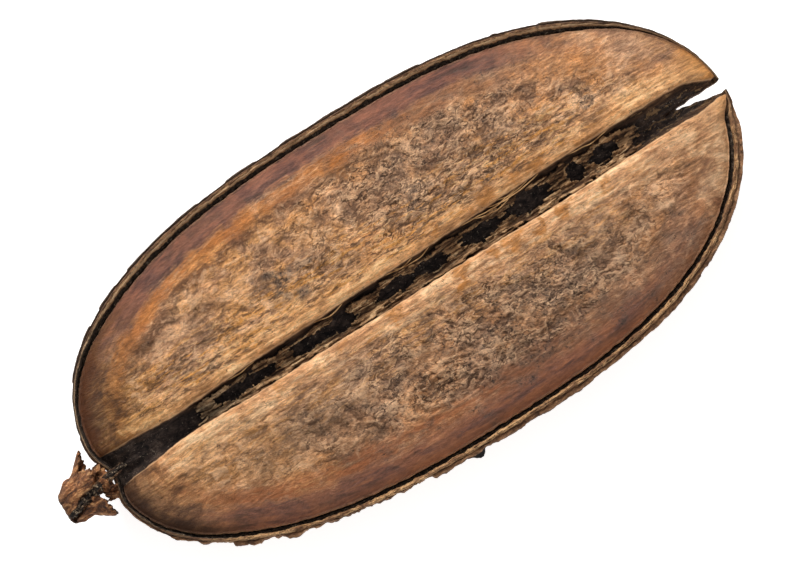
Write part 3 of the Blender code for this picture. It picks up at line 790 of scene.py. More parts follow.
def makeShell():
    points, angles, inward, run = outline(shell["around"])
    x, y = points.T
    bark, flaky = barkEdge(points, inward)
    right = onRight(y)
    wave = pod["rimWave"] * swell(x, y, pod["rimWaveLength"], 1.3)
    share = rimShare(x, y)
    leftTrim, rightTrim = shell["rimTrims"]
    rimWidth = pod["rimWidth"] - leftTrim - (rightTrim - leftTrim) * right
    rows, marks = [], {"rimAcross": [], "inside": [], "deep": [], "scrap": []}

    def inBy(width):
        return points + inward * (width * share)[:, None]

    def addRow(xy, z, rimAcross, inside=0, deep=0, scrap=0):
        rows.append(np.column_stack([xy, np.broadcast_to(z, len(xy))]))
        for mark, value in zip(marks, (rimAcross, inside, deep, scrap)):
            marks[mark].append(np.broadcast_to(value, len(xy)))

    flat = shell["flatSpot"]
    for scale in np.linspace(0, 1, shell["underRows"]) ** 0.8:
        underX, underY = x * scale, y * scale
        climb = (max(scale - flat, 0) / (1 - flat)) ** shell["undersidePower"]
        fade = min(2 * climb, 1) * (1 - climb)
        lumps = shell["undersideLumps"] * fade * swell(underX, underY, shell["undersideLumpLength"], 2.2)
        fissures = ridges(underX, underY, (9.0, 1.5), 5.0) - 0.5
        fissures = fissures + 0.5 * grain(underX, underY, (2.5, 0.8), 9.0, 3)
        lift = smooth((scale - flat - 0.03) / 0.2) * shell["fissureDepth"] * np.clip(0.35 - fissures, 0, 1)
        xy = points * scale + (bark - points) * smooth((scale - 0.85) / 0.15)
        addRow(xy, pod["shoulderZ"] * climb + lumps + lift, 0)

    # The bark's upright edge and its ledge, uneven and torn on the right, where one black scrap sticks out
    scrapX, scrapHalf, scrapReach = shell["scrap"]
    scrap = np.clip(1 - np.abs((x - scrapX) / scrapHalf) ** 2.5, 0, 1) * (y < 0)
    ledgeZ = shell["ledgeZ"] + wave + (0.1 + 0.25 * flaky) * grain(x, y, 1.4, 17.0)
    for step in evenSteps(shell["wallRows"]):
        z = mixed(pod["shoulderZ"] + 0.5 * wave, ledgeZ, step)
        flakes = smooth(grain(x, y, (1.3, 1.3, 0.8), 9.0, 2, z=z) / 0.1)
        layers = grain(x, y, (1.6, 1.6, 0.5), 6.0, z=z) + 0.6 * flakes
        depth = (0.17 + 0.08 * flaky) * layers * arch(min(step + 0.1, 1))
        low = arch(min(step * 1.5, 1)) ** 2
        addRow(bark + inward * (depth - scrapReach * scrap * low)[:, None], z, 0, scrap=scrap * low)

    leftLedge, rightLedge = shell["ledgeWidths"]
    ledge = (leftLedge + (rightLedge - leftLedge) * right) * (1 + 0.25 * grain(x, y, 2.0, 21.0, 3))
    for step in evenSteps(shell["ledgeRows"]):
        xy = mixed(bark, inBy(ledge), step)
        rough = (0.1 + 0.2 * right) * grain(*xy.T, (0.9, 0.7), 23.0) * arch(min(step + 0.15, 1))
        addRow(xy, ledgeZ + 0.14 * step * (1 - step) * 4 + rough, 0.15 * step)

    stations, heights = np.array(shell["rimProfile"]).T
    for step in evenSteps(shell["rimRows"]):
        level = np.full(len(run), step * 0.7)
        fibre = 0.12 * grain(run, level, (3.0, 0.16), 14.0)
        chips = -0.2 * smooth((grain(run, level, (1.4, 0.4), 19.0, 3) - 0.2) / 0.14)
        relief = (fibre + chips) * arch(min(step + 0.05, 0.98)) * (0.3 + 0.7 * share)
        top = pod["rimZ"] + np.interp(step, stations, heights) * (0.5 + 0.5 * share) + wave + relief
        wander = 0.2 * grain(run, 0 * run, 2.6, 24.0, 3) + 0.12 * grain(run, 0 * run, 0.5, 27.0, 3) + 0.08
        addRow(inBy(mixed(ledge, rimWidth, step) + wander * step**2), top, 0.2 + 0.8 * step)

    (leftTipX, rightTipY, stalkX), endRun = shell["crackEnds"], shell["crackEndRun"]
    closed = smooth((x - leftTipX) / endRun) * (y > 0) + smooth((y - rightTipY) / endRun) * (x > 0) * (y < 0)
    closed = closed + smooth((stalkX - x) / endRun)
    closedMarks = 1 - 0.3 * closed, 0.25 * closed, 1 - closed
    rimInner = rows[-1]
    bedStart, (bedEnd, dropStart) = rimWidth + 0.06, shell["crackBedEnds"]
    for step in evenSteps(shell["crackRows"]):
        xy = mixed(rimInner[:, :2], inBy(bedStart), step)
        crumbs = 0.16 * grain(run, np.full(len(run), 0.5 * step), 0.5, 28.0, 3)
        z = mixed(rimInner[:, 2], shell["crackBedZ"] + crumbs, step)
        addRow(xy, z, 1 - 0.3 * closed, 0.25 * closed * step, smooth(step * 1.8) * (1 - closed))
    for step in evenSteps(shell["crackBedRows"]):
        across = mixed(bedStart, bedEnd, step)
        crumbs = 0.3 * grain(run, across, (0.6, 0.4), 37.0, 3)
        addRow(inBy(across), shell["crackBedZ"] + crumbs + 0.2 * closed, *closedMarks)
    underLining = lining["thickness"] + pod["gap"]
    addRow(inBy(dropStart), pod["liningEdgeZ"] - underLining, *closedMarks)

    slotEnd = np.where(np.cos(angles) > 0, pod["slotEnds"][1], -pod["slotEnds"][0])
    slotX = slotEnd * shareAlong(angles)
    endRound = np.sign(np.round(np.sin(angles), 9)) * np.abs(np.sin(angles)) ** 0.3
    half = (slotHalf(slotX) + shell["lipOverhang"]) * endRound
    wallTop = besideSlot(slotX, half)
    for weight in np.linspace(0, 1, shell["bedRows"] + 1) ** 1.5:
        xy = mixed(inBy(liningStart), wallTop, weight)
        z = liningHeight(*xy.T, liningInset(*xy.T)) - underLining
        deep = (1 - smooth((weight - 0.5) / 0.5)) * (1 - closed)
        addRow(xy, z, 1, np.maximum(0.3 * smooth((weight - 0.8) / 0.2), 0.25 * closed), deep)

    bedEdge = rows[-1]
    floorX = slotX * shell["floorReach"]
    floorHalf = pod["floorShare"] * half
    floorEdge = besideSlot(floorX, floorHalf)
    floorZ = floorLevel(floorX) + shell["floorRoughness"] * swell(*floorEdge.T, 2.5, 7.7)
    floorZ = np.minimum(floorZ, bedEdge[:, 2] - shell["leastWall"])
    for step in evenSteps(shell["grooveRows"]):
        xy = mixed(bedEdge[:, :2], floorEdge, step)
        z = mixed(bedEdge[:, 2], floorZ, step)
        rough = 0.26 * grain(slotX, z * 2, (4.0, 0.8), 31.0) * arch(step)
        xy = xy - np.column_stack([0 * slotX, rough * np.sign(endRound)])
        addRow(xy, z, 1, 0.4 + 0.4 * step)
    middleZ = floorLevel(floorX) - 0.1 + shell["floorRoughness"] * swell(floorX, slotMiddle(floorX), 2.5, 7.7)
    for step in evenSteps(shell["floorRows"]):
        xy = besideSlot(floorX, floorHalf * (1 - step))
        rough = 0.09 * grain(*xy.T, (1.2, 0.5), 33.0, 3)
        addRow(xy, mixed(floorZ, middleZ, step) + rough * np.abs(endRound), 1, 1)

    marks["alongRim"] = [run] * len(rows)
    marks = {mark: np.array(values) for mark, values in marks.items()}
    marks = {mark: np.concatenate([values, values[:, :1]], axis=1) for mark, values in marks.items()}
    marks["alongRim"][:, -1] += run[-1] + run[1]
    coords = np.array(rows)
    piece = gridSheet("woodyShell", np.concatenate([coords, coords[:, :1]], axis=1), marks)
    piece.data.materials.append(shellFinish())
    partTips(piece)
    return piece


def floorLevel(x):
    return pod["floorZ"] + shell["ribbonRise"] * smooth(1 - (x - pod["slotEnds"][0]) / shell["ribbonLength"])


def partTips(piece):  # the upright wedge that parts the two tips
    places, halves = np.array(shell["splitHalves"]).T
    x = np.linspace(places[0], places[-1], 90)
    half = np.interp(x, places, halves)
    rough = 0.14 * grain(x, 0 * x, 1.1, 51.0)
    low, high = shell["splitZ"]
    corners = ((-1, low), (1, low), (1, high), (-1, high), (-1, low))
    coords = [np.column_stack([x, slotMiddle(x) + across * half + rough, 0 * x + z]) for across, z in corners]
    cutter = gridSheet("splitCutter", np.array(coords), {})
    cutter.data.materials.append(piece.data.materials[0])
    cut = piece.modifiers.new("tip split", "BOOLEAN")
    cut.object = cutter
    cut.solver = "MANIFOLD"
    applyModifiers(piece)
    bpy.data.objects.remove(cutter)


def shellFinish():
    look = {
        "bark": ((66, 46, 34), (112, 78, 56), (158, 116, 84), (200, 158, 120)),
        "rim": ((94, 64, 42), (170, 122, 80), (230, 184, 132)),
        "wall": ((32, 22, 17), (80, 55, 39), (150, 112, 78)),
        "floor": ((20, 17, 17), (66, 54, 50), (122, 104, 92)),
    }
    material, place = newFinish("barkAndWood", 0.8)
    marks = ("rimAcross", "inside", "deep", "scrap", "alongRim")
    across, inside, deep, scrap, alongRim = place.attributes(*marks)
    x, y, z = (place.axis(number) for number in range(3))
    flow = place.placed(alongRim * 0.24, across * 1.5, z * 0.8)
    long = place.stretched(0.3, 1, 1)

    # Bark, darker on the left of the pod, and the rim's layers, pits and stains
    barkNoise = long.clouds(2.0, 8, 0.72, 0.6, 2)
    crust = place.clouds(0.7, 6, 0.78, 0.4, 6)
    skinZ = z + (barkNoise - 0.5) * 9 + (crust - 0.5) * 4
    upperSkin = (y + x * 0.05).between(-3, 3) * (skinZ.between(6.0, 7.8) * 0.6 + 0.3)
    lowerSkin = 1 - upperSkin
    layers = flow.clouds(0.4, 8, 0.78, 0.3, 12)
    crumbs = place.clouds(0.6, 6, 0.8, 0.4, 19)
    jagged = x + (crumbs - 0.5) * 12
    atStalk = jagged.below(-44, -31)
    pits = place.clouds(0.45, 5, 0.8, 0.3, 63)
    rimNoise = layers + (across - 0.65) * 0.25 * upperSkin + lowerSkin * 0.05
    rimTone = rimNoise.ramp((0.39, 0.48, 0.6), look["rim"]).coated(
        ((across + (layers - 0.5) * 1.2).below(0.5, 0.72) * upperSkin * 0.8, (88, 58, 40)),
        (crumbs.between(0.54, 0.6) * 0.75, (70, 48, 34)),
        (crumbs.below(0.36, 0.44) * 0.5, (232, 190, 142)),
        (jagged.between(28, 38) * upperSkin * 0.7, (66, 46, 34)),
        (atStalk * 0.8, (60, 43, 31)),
        (long.clouds(1.3, 6, 0.72, 0.5, 57).between(0.49, 0.55) * lowerSkin * 0.75, (118, 78, 55)),
        (pits.between(0.54, 0.59) * 0.6, (62, 43, 31)),
    )

    # Crumbly wood in the crack, the groove's fibrous walls and its black floor
    crackNoise = place.clouds(0.5, 5, 0.8, 0.3, 71)
    crackTone = crackNoise.below(0.4, 0.52).over((74, 59, 47), (30, 24, 20))
    crackTone = (crackNoise.between(0.56, 0.66) * 0.6).over(crackTone, (216, 196, 170))
    wallNoise = place.stretched(0.2, 1, 1.6).clouds(0.8, 8, 0.76, 0.4, 22)
    atTip = (x + (wallNoise - 0.5) * 12).between(40.5, 43.5)
    wallTone = wallNoise.ramp((0.36, 0.5, 0.66), look["wall"])
    wallTone = (atTip * wallNoise.between(0.48, 0.58) * 0.3).over(wallTone, (150, 104, 70))
    floorNoise = place.stretched(0.6, 1, 1).clouds(0.9, 8, 0.8, 0.4, 26)
    floorTone = floorNoise.ramp((0.38, 0.52, 0.68), look["floor"])
    specks = place.clouds(0.36, 3, 0.8, 0.2, 29).between(0.63, 0.68) * 0.65
    floorTone = specks.over(floorTone, (226, 208, 184))
    ribbon = (x + (floorNoise - 0.5) * 6).below(-33.5, -31.5)
    scraps = place.swirled(1.6, 1.0).stretched(0.3, 1.2, 1).clouds(0.7, 6, 0.76, 0.4, 83)
    scrapZone = inside.between(0.2, 0.4) * x.between(31, 35)

    edge = across + (layers - 0.5) * 0.2 + (crumbs - 0.5) * 0.3 + atStalk * across * 0.35
    onLedge = z.between(6.9, 7.3) * edge.below(0.18, 0.27) * lowerSkin
    # painted shade in the dip at the foot of the rim
    footShade = edge.window(0.08, 0.15, 0.19, 0.25) * layers.between(0.42, 0.56)
    paleLine = edge.window(0.64, 0.72, 0.88, 0.96) * layers.between(0.4, 0.5)
    tone = barkNoise.ramp((0.34, 0.45, 0.54, 0.66), look["bark"]).coated(
        (crust.between(0.38, 0.62) * 0.75 + 0.56, None),
        (upperSkin, (54, 42, 34)),
        (edge.between(0.2, 0.27), rimTone),
        (onLedge * crumbs.between(0.46, 0.58) * 0.7, (176, 128, 88)),
        (footShade * 0.75, (44, 31, 24)),
        (paleLine * upperSkin * 0.7, (214, 180, 142)),
        (edge.between(0.92, 1.0), crackTone),
        (deep, crackTone),
        (inside.between(0.1, 0.35), wallTone),
        (inside.between(0.1, 0.25) * ribbon * 0.85, floorTone),
        (inside.between(0.55, 0.85), floorTone),
        (scraps.between(0.55, 0.59) * scrapZone * 0.8, (172, 136, 96)),
        (scraps.below(0.4, 0.47) * scrapZone * 0.35, (96, 70, 50)),
        (scrap.between(0.05, 0.2), (24, 20, 19)),
    )
    height = barkNoise * 1.4 + crust * 0.8 + layers * 0.6 + pits * -0.8
    return finishWith(material, tone, height, 0.3)


# Torn partition strip in the slot

strip = {
    "ends": (-32.4, 33.8),
    "along": 760,
    "across": 40,
    "reach": 0.95,  # of the slot's half width
    "thickness": 0.2,
    "rise": 1.2,
    "crumple": 0.34,
    "flakeRise": 0.34,
    "curl": 0.12,
    "holes": (
        (-24.8, 4.8, 0.52), (-15.4, 2.3, 0.5), (-10.9, 2.4, 0.54), (-2.6, 2.9, 0.46), (3.1, 2.3, 0.46),
        (10.6, 3.1, 0.5), (17.6, 3.5, 0.54), (24.4, 1.2, 0.46), (28.6, 1.8, 0.5),
    ),
}


def makeStrip():
    x = np.linspace(*strip["ends"], strip["along"])[None, :]
    q = np.linspace(-1, 0.8, strip["across"])[:, None]
    x, q = np.broadcast_arrays(x, q)
    half = slotHalf(x) * strip["reach"]
    y = slotMiddle(x) + q * half
    base = pod["floorZ"] + shell["floorRoughness"] + pod["gap"] + 0.25
    crumple = grain(x, y, (3.6, 0.5), 3.0, 4)
    flakeNoise = grain(x, y, (4.4, 0.7), 9.0, 3)
    smallFlakes = smooth((grain(x, y, (2.2, 0.4), 13.0, 2) - 0.12) / 0.06)
    flakes = smooth((flakeNoise - 0.04) / 0.06) + 0.5 * smallFlakes
    z = base + strip["rise"] * np.abs(q) ** 1.8 + strip["crumple"] * crumple + strip["flakeRise"] * flakes
    torn = np.full(x.shape, -1.0)
    for middle, halfLength, halfWidth in strip["holes"]:
        away = np.hypot((x - middle) / halfLength, (q - 0.05) / halfWidth)
        torn = np.maximum(torn, 1 - away)
    ragged = torn + 0.5 * grain(x, y, (2.3, 0.5), 17.0, 4)
    z = z + strip["curl"] * bump(ragged, -0.12, 0.16)  # torn edges curl up
    ends = np.minimum(x - strip["ends"][0], strip["ends"][1] - x)
    endTear = ends + 2.2 * grain(y * 2, x * 0.3, 0.8, 23.0, 4) - 0.8
    sideTear = np.minimum(1 + q, 0.8 - q) + 0.25 * grain(x, q, (1.6, 1.0), 29.0, 4) - 0.05
    keep = (ragged < 0.02) & (endTear > 0) & (sideTear > 0)
    raised = 0.35 * crumple + 0.5 * flakes - 0.25
    marks = {"tear": np.clip(ragged, -1, 1), "across": np.abs(q), "raised": raised}
    piece = gridSheet("septumStrip", np.dstack([x, y, z]), marks, keep=keep, closed=False)
    dropCrumbs(piece, 60)
    giveWall(piece, strip["thickness"])
    piece.data.materials.append(stripFinish())
    return piece


def dropCrumbs(piece, fewest):  # loose islands of fewer faces than this are deleted
    bm = bmesh.new()
    bm.from_mesh(piece.data)
    waiting = set(bm.faces)
    while waiting:
        island, front = set(), [waiting.pop()]
        while front:
            face = front.pop()
            island.add(face)
            near = {other for edge in face.edges for other in edge.link_faces} & waiting
            waiting -= near
            front.extend(near)
        if len(island) < fewest:
            bmesh.ops.delete(bm, geom=list(island), context="FACES")
    bm.to_mesh(piece.data)
    bm.free()


def stripFinish():
    material, place = newFinish("tornPaper", 0.85)
    tear, across, raised = place.attributes("tear", "across", "raised")
    fibres = place.stretched(0.14, 1, 1).clouds(0.6, 7, 0.76, 0.3, 3)
    dirt = place.clouds(1.2, 6, 0.76, 0.5, 8)
    papery = (place.axis(0) + (fibres - 0.5) * 10).below(-29, -22)
    woodTones = ((48, 32, 22), (118, 84, 56), (190, 144, 100), (255, 218, 168))
    paperTones = ((104, 88, 70), (178, 158, 128), (226, 208, 176))
    tone = fibres.ramp((0.39, 0.47, 0.54, 0.61), woodTones).coated(
        (papery * 0.5, fibres.ramp((0.4, 0.5, 0.6), paperTones)),
        # painted highlight on the raised flakes and painted shade in the low parts
        (raised.between(0.1, 0.5) * 0.3, (226, 180, 130)),
        (raised.below(-0.3, 0.05) * 0.6, (62, 42, 29)),
        (dirt.between(0.52, 0.6) * 0.7, (60, 43, 30)),
        (across.between(0.6, 1.0) * 0.5, (110, 72, 42)),
        # pale frayed fibres and a painted highlight along the torn edges
        (tear.between(-0.22, -0.1) * dirt.below(0.42, 0.52) * 0.5, (236, 198, 150)),
    )
    return finishWith(material, tone, fibres * 1.2 + dirt * 0.6, 0.25)


# Calyx at the stalk end

calyx = {
    "middle": (-1.4, 6.6),
    "radii": ((0, 1.3), (0.4, 1.85), (1.6, 2.45), (3.0, 2.4), (4.0, 2.7), (4.7, 3.0)),
    "length": 4.7,
    "flattening": 0.78,
    "wall": 0.3,
    "teeth": 5,
    "toothReach": 1.6,
    "toothLength": 0.6,
    "around": 260,
    "along": 84,
    "slit": 0.62,
    "slitTurns": ((0, -1.15), (1.4, -0.6), (3.0, -0.32), (4.8, -0.1)),  # how it slants round the cup
    "strand": (
        (-52.15, -3.05, 7.2), (-51.0, -2.65, 7.75), (-49.0, -2.15, 7.95), (-47.2, -1.75, 7.9),
        (-45.6, -1.35, 8.0), (-44.0, -1.15, 8.25), (-42.6, -1.05, 8.2),
    ),
    "strandRadius": 0.62,
    "fibres": 9,
    "fibreRadii": (0.07, 0.14),
    "fibreLooks": (0.75, 0.85, 0.95),  # how much like the strand each fibre looks
    "scales": 11,
    "scaleThickness": 0.2,
    "stubRadius": 1.6,
    "stubLength": 1.3,
    "sag": -0.45,  # how far the stub end sags towards the right edge
}


def tube(name, path, radius, around, rough=0.0, seed=0.0, marks=None):
    # A rough cord along a path of places, thinning to its ends
    path = np.array(path, float)
    tangent = np.gradient(path, axis=0)
    tangent /= np.linalg.norm(tangent, axis=1)[:, None]
    sideways = np.cross(tangent, (0, 0, 1))
    sideways /= np.linalg.norm(sideways, axis=1)[:, None]
    upward = np.cross(sideways, tangent)
    turn = np.linspace(0, 2 * math.pi, around + 1)
    along = np.arange(len(path))[:, None] + 0 * turn
    thickness = np.broadcast_to(radius, len(path))[:, None] + 0 * turn
    thickness = thickness * (1 + rough * grain(2 * np.cos(turn) + 0 * along, along / 5, 1.0, seed, 3))
    spread = np.cos(turn)[None, :, None] * sideways[:, None] + np.sin(turn)[None, :, None] * upward[:, None]
    coords = path[:, None] + thickness[..., None] * spread
    marks = {mark: np.full(along.shape, value, float) for mark, value in (marks or {}).items()}
    return gridSheet(name, coords, marks)


def joined(name, parts):
    bm = bmesh.new()
    for part in parts:
        bm.from_mesh(part.data)
        bpy.data.objects.remove(part)
    return newPiece(name, bm)


def smoothPath(stops, steps):
    stops = np.array(stops)
    at = np.linspace(0, len(stops) - 1, steps)
    low = np.minimum(at.astype(int), len(stops) - 2)
    share = (at - low)[:, None]
    before, after = stops[np.maximum(low - 1, 0)], stops[np.minimum(low + 2, len(stops) - 1)]
    start, end = stops[low], stops[low + 1]
    curve = (end - before) * share + (2 * before - 5 * start + 4 * end - after) * share**2
    return start + 0.5 * (curve + (3 * start - before - 3 * end + after) * share**3)


def ringGrid(length, rows, around):
    return np.meshgrid(np.linspace(0, length, rows), np.linspace(0, 2 * math.pi, around + 1), indexing="ij")


def makeCalyx():
    middleY, middleZ = calyx["middle"]
    along, turn = ringGrid(calyx["length"], calyx["along"], calyx["around"])
    teeth = np.abs(np.cos(calyx["teeth"] * (turn - math.pi / 2) / 2)) ** 1.1
    flare = smooth((along - 2.2) / 2.5)
    radius = eased(along, calyx["radii"]) + calyx["toothReach"] * teeth * flare
    sine, cosine = np.sin(turn), np.cos(turn)
    uneven = 1 + 0.1 * grain(cosine * 2, sine * 2, 1.0, 1.0, 2, z=along / 2)
    ribs = 0.1 * grain(cosine * 3, sine * 3, (0.4, 0.4, 1), 5.0, 3, z=along / 3)
    lumps = 0.09 * grain(cosine * 3, sine * 3, 1.0, 8.0, 4, z=along)
    radius = radius * uneven + ribs + lumps
    lean = calyx["sag"] * (1 - smooth(along / 2.6))
    x = pod["calyxBase"] + 0.15 + along + calyx["toothLength"] * teeth * flare
    x = x - 0.9 * flare * (1 - teeth) * smooth(0.5 + grain(cosine * 3, sine * 3, 0.9, 14.0, 3) / 0.3)
    y = middleY + lean + radius * sine
    z = middleZ + calyx["flattening"] * radius * cosine
    wrapped = np.where(turn > math.pi, turn - 2 * math.pi, turn)
    fromSlit = np.abs(wrapped - eased(along, calyx["slitTurns"])) * radius
    slitHalf = calyx["slit"] * (0.7 + 0.5 * smooth(along / 3)) + 0.16 * grain(x, y, 0.5, 16.0, 4)
    keep = (fromSlit > slitHalf) | (along < 0.3)
    edge = (calyx["length"] - along) + 0.5 * grain(cosine * 4, sine * 4, 0.5, 18.0, 4)
    keep &= edge > 0.12 * (1 - teeth)
    crest = ribs * 4 + lumps * 2.5 - 0.7 * bump(fromSlit, 0, 0.8)
    marks = {"hollow": 0 * along, "crest": crest}
    cup = gridSheet("cup", np.dstack([x, y, z]), marks, keep=keep, closed=False)
    giveWall(cup, calyx["wall"])
    applyModifiers(cup)
    parts = [cup, makeStub()] + makeStrand() + [makeScale(number) for number in range(calyx["scales"])]
    piece = joined("calyxCup", parts)
    piece.data.materials.append(calyxFinish())
    return piece


def makeStrand():  # a frayed bundle from the stub through the cup onto the pod
    draw = np.random.default_rng(7)
    path = smoothPath(calyx["strand"], 70)
    u = np.linspace(0, 1, len(path))
    ends = np.minimum(1, np.minimum(7 * u, 3 * (1 - u)) + 0.15)
    parts = [tube("strand", path, calyx["strandRadius"] * ends, 18, 0.5, 3.0, {"hollow": 1, "crest": 0})]
    for number in range(calyx["fibres"]):
        angle = draw.uniform(-1.3, 1.3)
        offset = calyx["strandRadius"] * np.array([0, math.sin(angle), 0.9 * math.cos(angle)])
        first, last = draw.integers(0, 14), draw.integers(50, 69)
        sway = 0.12 * grain(path[:, 0], 0 * u, 1.4, 20.0 + number, 3)
        fibre = path + offset + np.column_stack([0 * u, sway, 0.6 * sway + 0.05])
        marks = {"hollow": draw.choice(calyx["fibreLooks"]), "crest": 0}
        radius = draw.uniform(*calyx["fibreRadii"])
        parts.append(tube("strandFibre", fibre[first:last], radius, 8, 0.5, number, marks))
    return parts


def makeScale(number):  # one broken scale of the ring between the cup and the pod
    draw = np.random.default_rng(100 + number)
    middleY, middleZ = calyx["middle"]
    turn = 2 * math.pi * (number + 0.4 * draw.random()) / calyx["scales"]
    bm = bmesh.new()
    bmesh.ops.create_uvsphere(bm, u_segments=28, v_segments=16, radius=1)
    length, width = 0.7 + 0.35 * draw.random(), 0.6 + 0.35 * draw.random()
    size = Matrix.Diagonal((length, width, calyx["scaleThickness"], 1))
    tilt = Matrix.Rotation(turn, 4, "X") @ Matrix.Rotation(draw.uniform(-0.8, 0.1), 4, "Y")
    reach = 1.7 + 0.7 * draw.random()
    along = -pod["halfLength"] - 0.3 + 0.55 * draw.random() + 0.35 * math.sin(turn) ** 2
    middle = (along, middleY - reach * math.sin(turn), middleZ + 0.85 * reach * math.cos(turn))
    place = Matrix.Translation(middle)
    hollow = bm.verts.layers.float.new("hollow")
    crest = bm.verts.layers.float.new("crest")
    shift = Vector((number * 5, 0, 0))
    for vert in bm.verts:
        ragged = noise.fractal(vert.co * 1.9 + shift, 0.7, 2.0, 4)
        vert.co *= 1 + 0.6 * ragged
        vert[hollow] = 0.15
        vert[crest] = ragged
    bmesh.ops.transform(bm, matrix=place @ tilt @ size, verts=bm.verts)
    bmesh.ops.translate(bm, vec=podPlace, verts=bm.verts)
    bmesh.ops.scale(bm, vec=(mm, mm, mm), verts=bm.verts)
    return newPiece(f"scale{number}", bm)


def makeStub():  # the broken end of the stalk that closes the cup
    middleY, middleZ = calyx["middle"]
    u, turn = ringGrid(1, 26, 72)
    radius = calyx["stubRadius"] * np.sqrt(np.clip(u * (2 - u), 0, 1)) * (1 - 0.35 * smooth((u - 0.6) / 0.4))
    radius = radius * (1 + 0.3 * grain(np.cos(turn) * 2, np.sin(turn) * 2, 0.9, 6.0, 4, z=u))
    bumps = np.clip(grain(radius * np.cos(turn), radius * np.sin(turn), 0.4, 9.0, 4), 0, 1)
    x = pod["calyxBase"] + 0.2 + calyx["stubLength"] * u - 0.3 * bumps * (1 - u)
    y = middleY + calyx["sag"] + radius * np.sin(turn)
    z = middleZ + 0.8 * radius * np.cos(turn)
    return gridSheet("stub", np.dstack([x, y, z]), {"hollow": 0 * u + 0.35, "crest": bumps - 0.2})


def calyxFinish():
    material, place = newFinish("dryCalyx", 0.75)
    hollow, crest = place.attributes("hollow", "crest")
    veins = place.stretched(0.35, 1, 1).clouds(0.9, 8, 0.76, 0.5, 4)
    crust = place.clouds(0.5, 6, 0.78, 0.3, 9)
    veinTones = ((44, 27, 17), (96, 58, 34), (148, 94, 55), (214, 160, 108))
    strandTones = ((20, 16, 13), (48, 37, 29), (196, 172, 142))
    tone = veins.ramp((0.36, 0.46, 0.54, 0.63), veinTones).coated(
        (crust.between(0.36, 0.64) * 0.6 + 0.66, None),
        # painted highlight on the ridges, lumps and scale bulges
        (crest.between(0.12, 0.6) * 0.4, (176, 126, 86)),
        (place.axis(0).below(-51.9, -50.4) * crust.between(0.38, 0.6) * 0.75, (50, 34, 25)),
        # painted shade in the dips and beside the slit
        ((crest * -1).between(0.08, 0.5) * 0.65, (58, 37, 25)),
        (hollow.between(0.5, 0.9), crust.ramp((0.44, 0.54, 0.6), strandTones)),
    )
    return finishWith(material, tone, veins * 1.2 + crust * 0.8, 0.25)


# Loose fibres along the slot

fibreRoutes = (  # start and end along the pod, how far it swings out over the slot, how high it arches
    (7.5, 18.0, 0.6, 0.3), (9.5, 17.0, 1.0, 0.2), (12.0, 20.5, 0.8, 0.4), (-3.5, 1.5, 0.5, 0.2),
    (-2.0, 4.0, 0.8, 0.2), (24.0, 31.0, 0.5, 0.2), (-14.0, -9.0, 0.5, 0.2), (13.5, 19.0, 0.45, 0.3),
    (-27.0, -22.0, 0.5, 0.2),
)


def makeFibres():
    parts = []
    for number, (start, end, inward, arch) in enumerate(fibreRoutes):
        u = np.linspace(0, 1, 30)
        x = start + (end - start) * u
        swing = np.sin(math.pi * u)
        sway = 0.3 * grain(x, 0 * x, 3.0, number * 7.3, 2) * swing
        y = slotMiddle(x) + slotHalf(x) + 0.1 - inward * swing + sway
        z = 10.0 + (arch - 0.3 * inward) * swing
        ends = np.minimum(1, 12 * np.minimum(u, 1 - u) + 0.3)
        parts.append(tube("fibre", np.column_stack([x, y, z]), 0.075 * ends, 6))
    piece = joined("slotFibres", parts)
    material, place = newFinish("fibre", 0.6)
    tone = place.clouds(1.5, 4, 0.6, 0, 2).ramp((0.38, 0.56), ((150, 104, 60), (226, 180, 124)))
    piece.data.materials.append(finishWith(material, tone))
    return piece


# Camera, light and floor

studio = {
    "azimuth": -31.9,
    "elevation": 84.0,
    "lens": 150.0,
    "millimetresAcross": 100.0,  # of the pod's plane, over the picture's width
    "aim": (-2.1, -0.46, 8.6),
    "floor": (0.8, 0.8, 0.8, 1),
    "floorGlow": 0.68,  # pale all over, as on a light table
    "lightTint": (1.0, 0.975, 0.93),
    "lights": (  # up and to the right in the picture, height, size, power
        ("key", 0.6, -0.2, 0.37, 0.3, 6.4),
        ("fill", -0.45, 0.35, 0.6, 0.6, 1.1),
    ),
    "roomLight": 0.42,
}


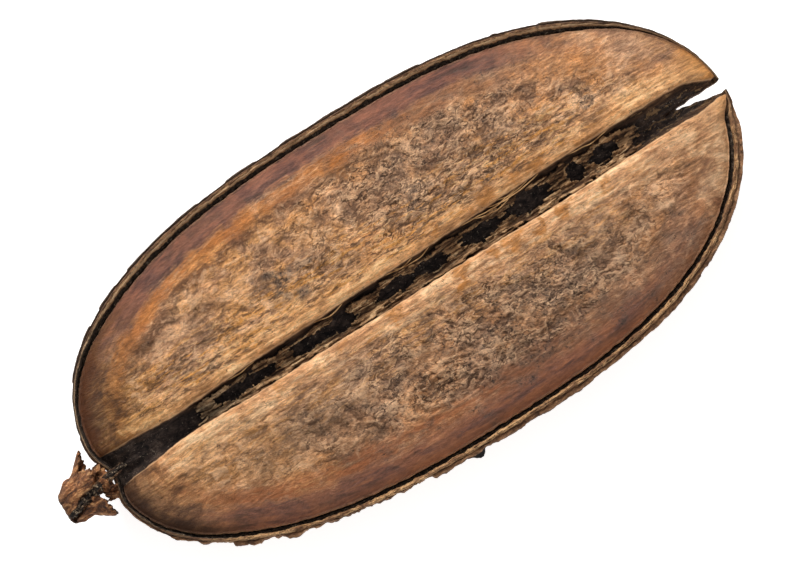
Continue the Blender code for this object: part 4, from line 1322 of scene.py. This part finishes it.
def makeStudio():
    turn, rise = math.radians(studio["azimuth"]), math.radians(studio["elevation"])
    back = Vector((math.sin(turn) * math.cos(rise), -math.cos(turn) * math.cos(rise), math.sin(rise)))
    target = (Vector(studio["aim"]) + podPlace) * mm
    camera = bpy.data.objects.new("camera", bpy.data.cameras.new("camera"))
    camera.data.lens = studio["lens"]
    away = studio["millimetresAcross"] * mm * studio["lens"] / camera.data.sensor_width
    camera.location = target + back * away
    camera.rotation_mode = "QUATERNION"
    camera.rotation_quaternion = (-back).to_track_quat("-Z", "Y")
    camera.data.clip_start, camera.data.clip_end = 0.01, 20
    bpy.context.scene.collection.objects.link(camera)
    bpy.context.scene.camera = camera

    imageUp = Vector((-math.sin(turn), math.cos(turn), 0))
    imageRight = Vector((math.cos(turn), math.sin(turn), 0))

    for name, upward, sideways, height, size, power in studio["lights"]:
        light = bpy.data.objects.new(name, bpy.data.lights.new(name, "AREA"))
        light.data.shape = "SQUARE"
        light.data.size = size
        light.data.energy = power
        light.data.color = studio["lightTint"]
        light.location = imageUp * upward + imageRight * sideways + Vector((0, 0, height))
        light.rotation_mode = "QUATERNION"
        light.rotation_quaternion = (target - light.location).to_track_quat("-Z", "Y")
        bpy.context.scene.collection.objects.link(light)

    world = bpy.data.worlds.new("pale room")
    world.use_nodes = True
    background = world.node_tree.nodes["Background"]
    background.inputs["Color"].default_value = (1, 1, 1, 1)
    background.inputs["Strength"].default_value = studio["roomLight"]
    bpy.context.scene.world = world
    bpy.context.scene.view_settings.view_transform = "Standard"

    bm = bmesh.new()
    bmesh.ops.create_grid(bm, x_segments=1, y_segments=1, size=3)
    floor = newPiece("floor", bm)
    material = bpy.data.materials.new("paleFloor")
    material.use_nodes = True
    inputs = material.node_tree.nodes["Principled BSDF"].inputs
    looks = {"Base Color": studio["floor"], "Roughness": 0.9}
    looks.update({"Emission Color": (1, 1, 1, 1), "Emission Strength": studio["floorGlow"]})
    for name, value in looks.items():
        inputs[name].default_value = value
    floor.data.materials.append(material)


def dress(piece, slot, *nodes):
    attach(piece, "root")
    if nodes:
        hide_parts(*nodes)


makeStudio()
dress(makeShell(), "bark", "woody_shell")
dress(makeLining("liningLeft", 1), "lining", "lining_left")
dress(makeLining("liningRight", -1), "lining", "lining_right")
dress(makeStrip(), "papery_strip", "septum_strip")
dress(makeCalyx(), "dry_calyx", "calyx")
dress(makeFibres(), "papery_strip")
print("all pieces made")
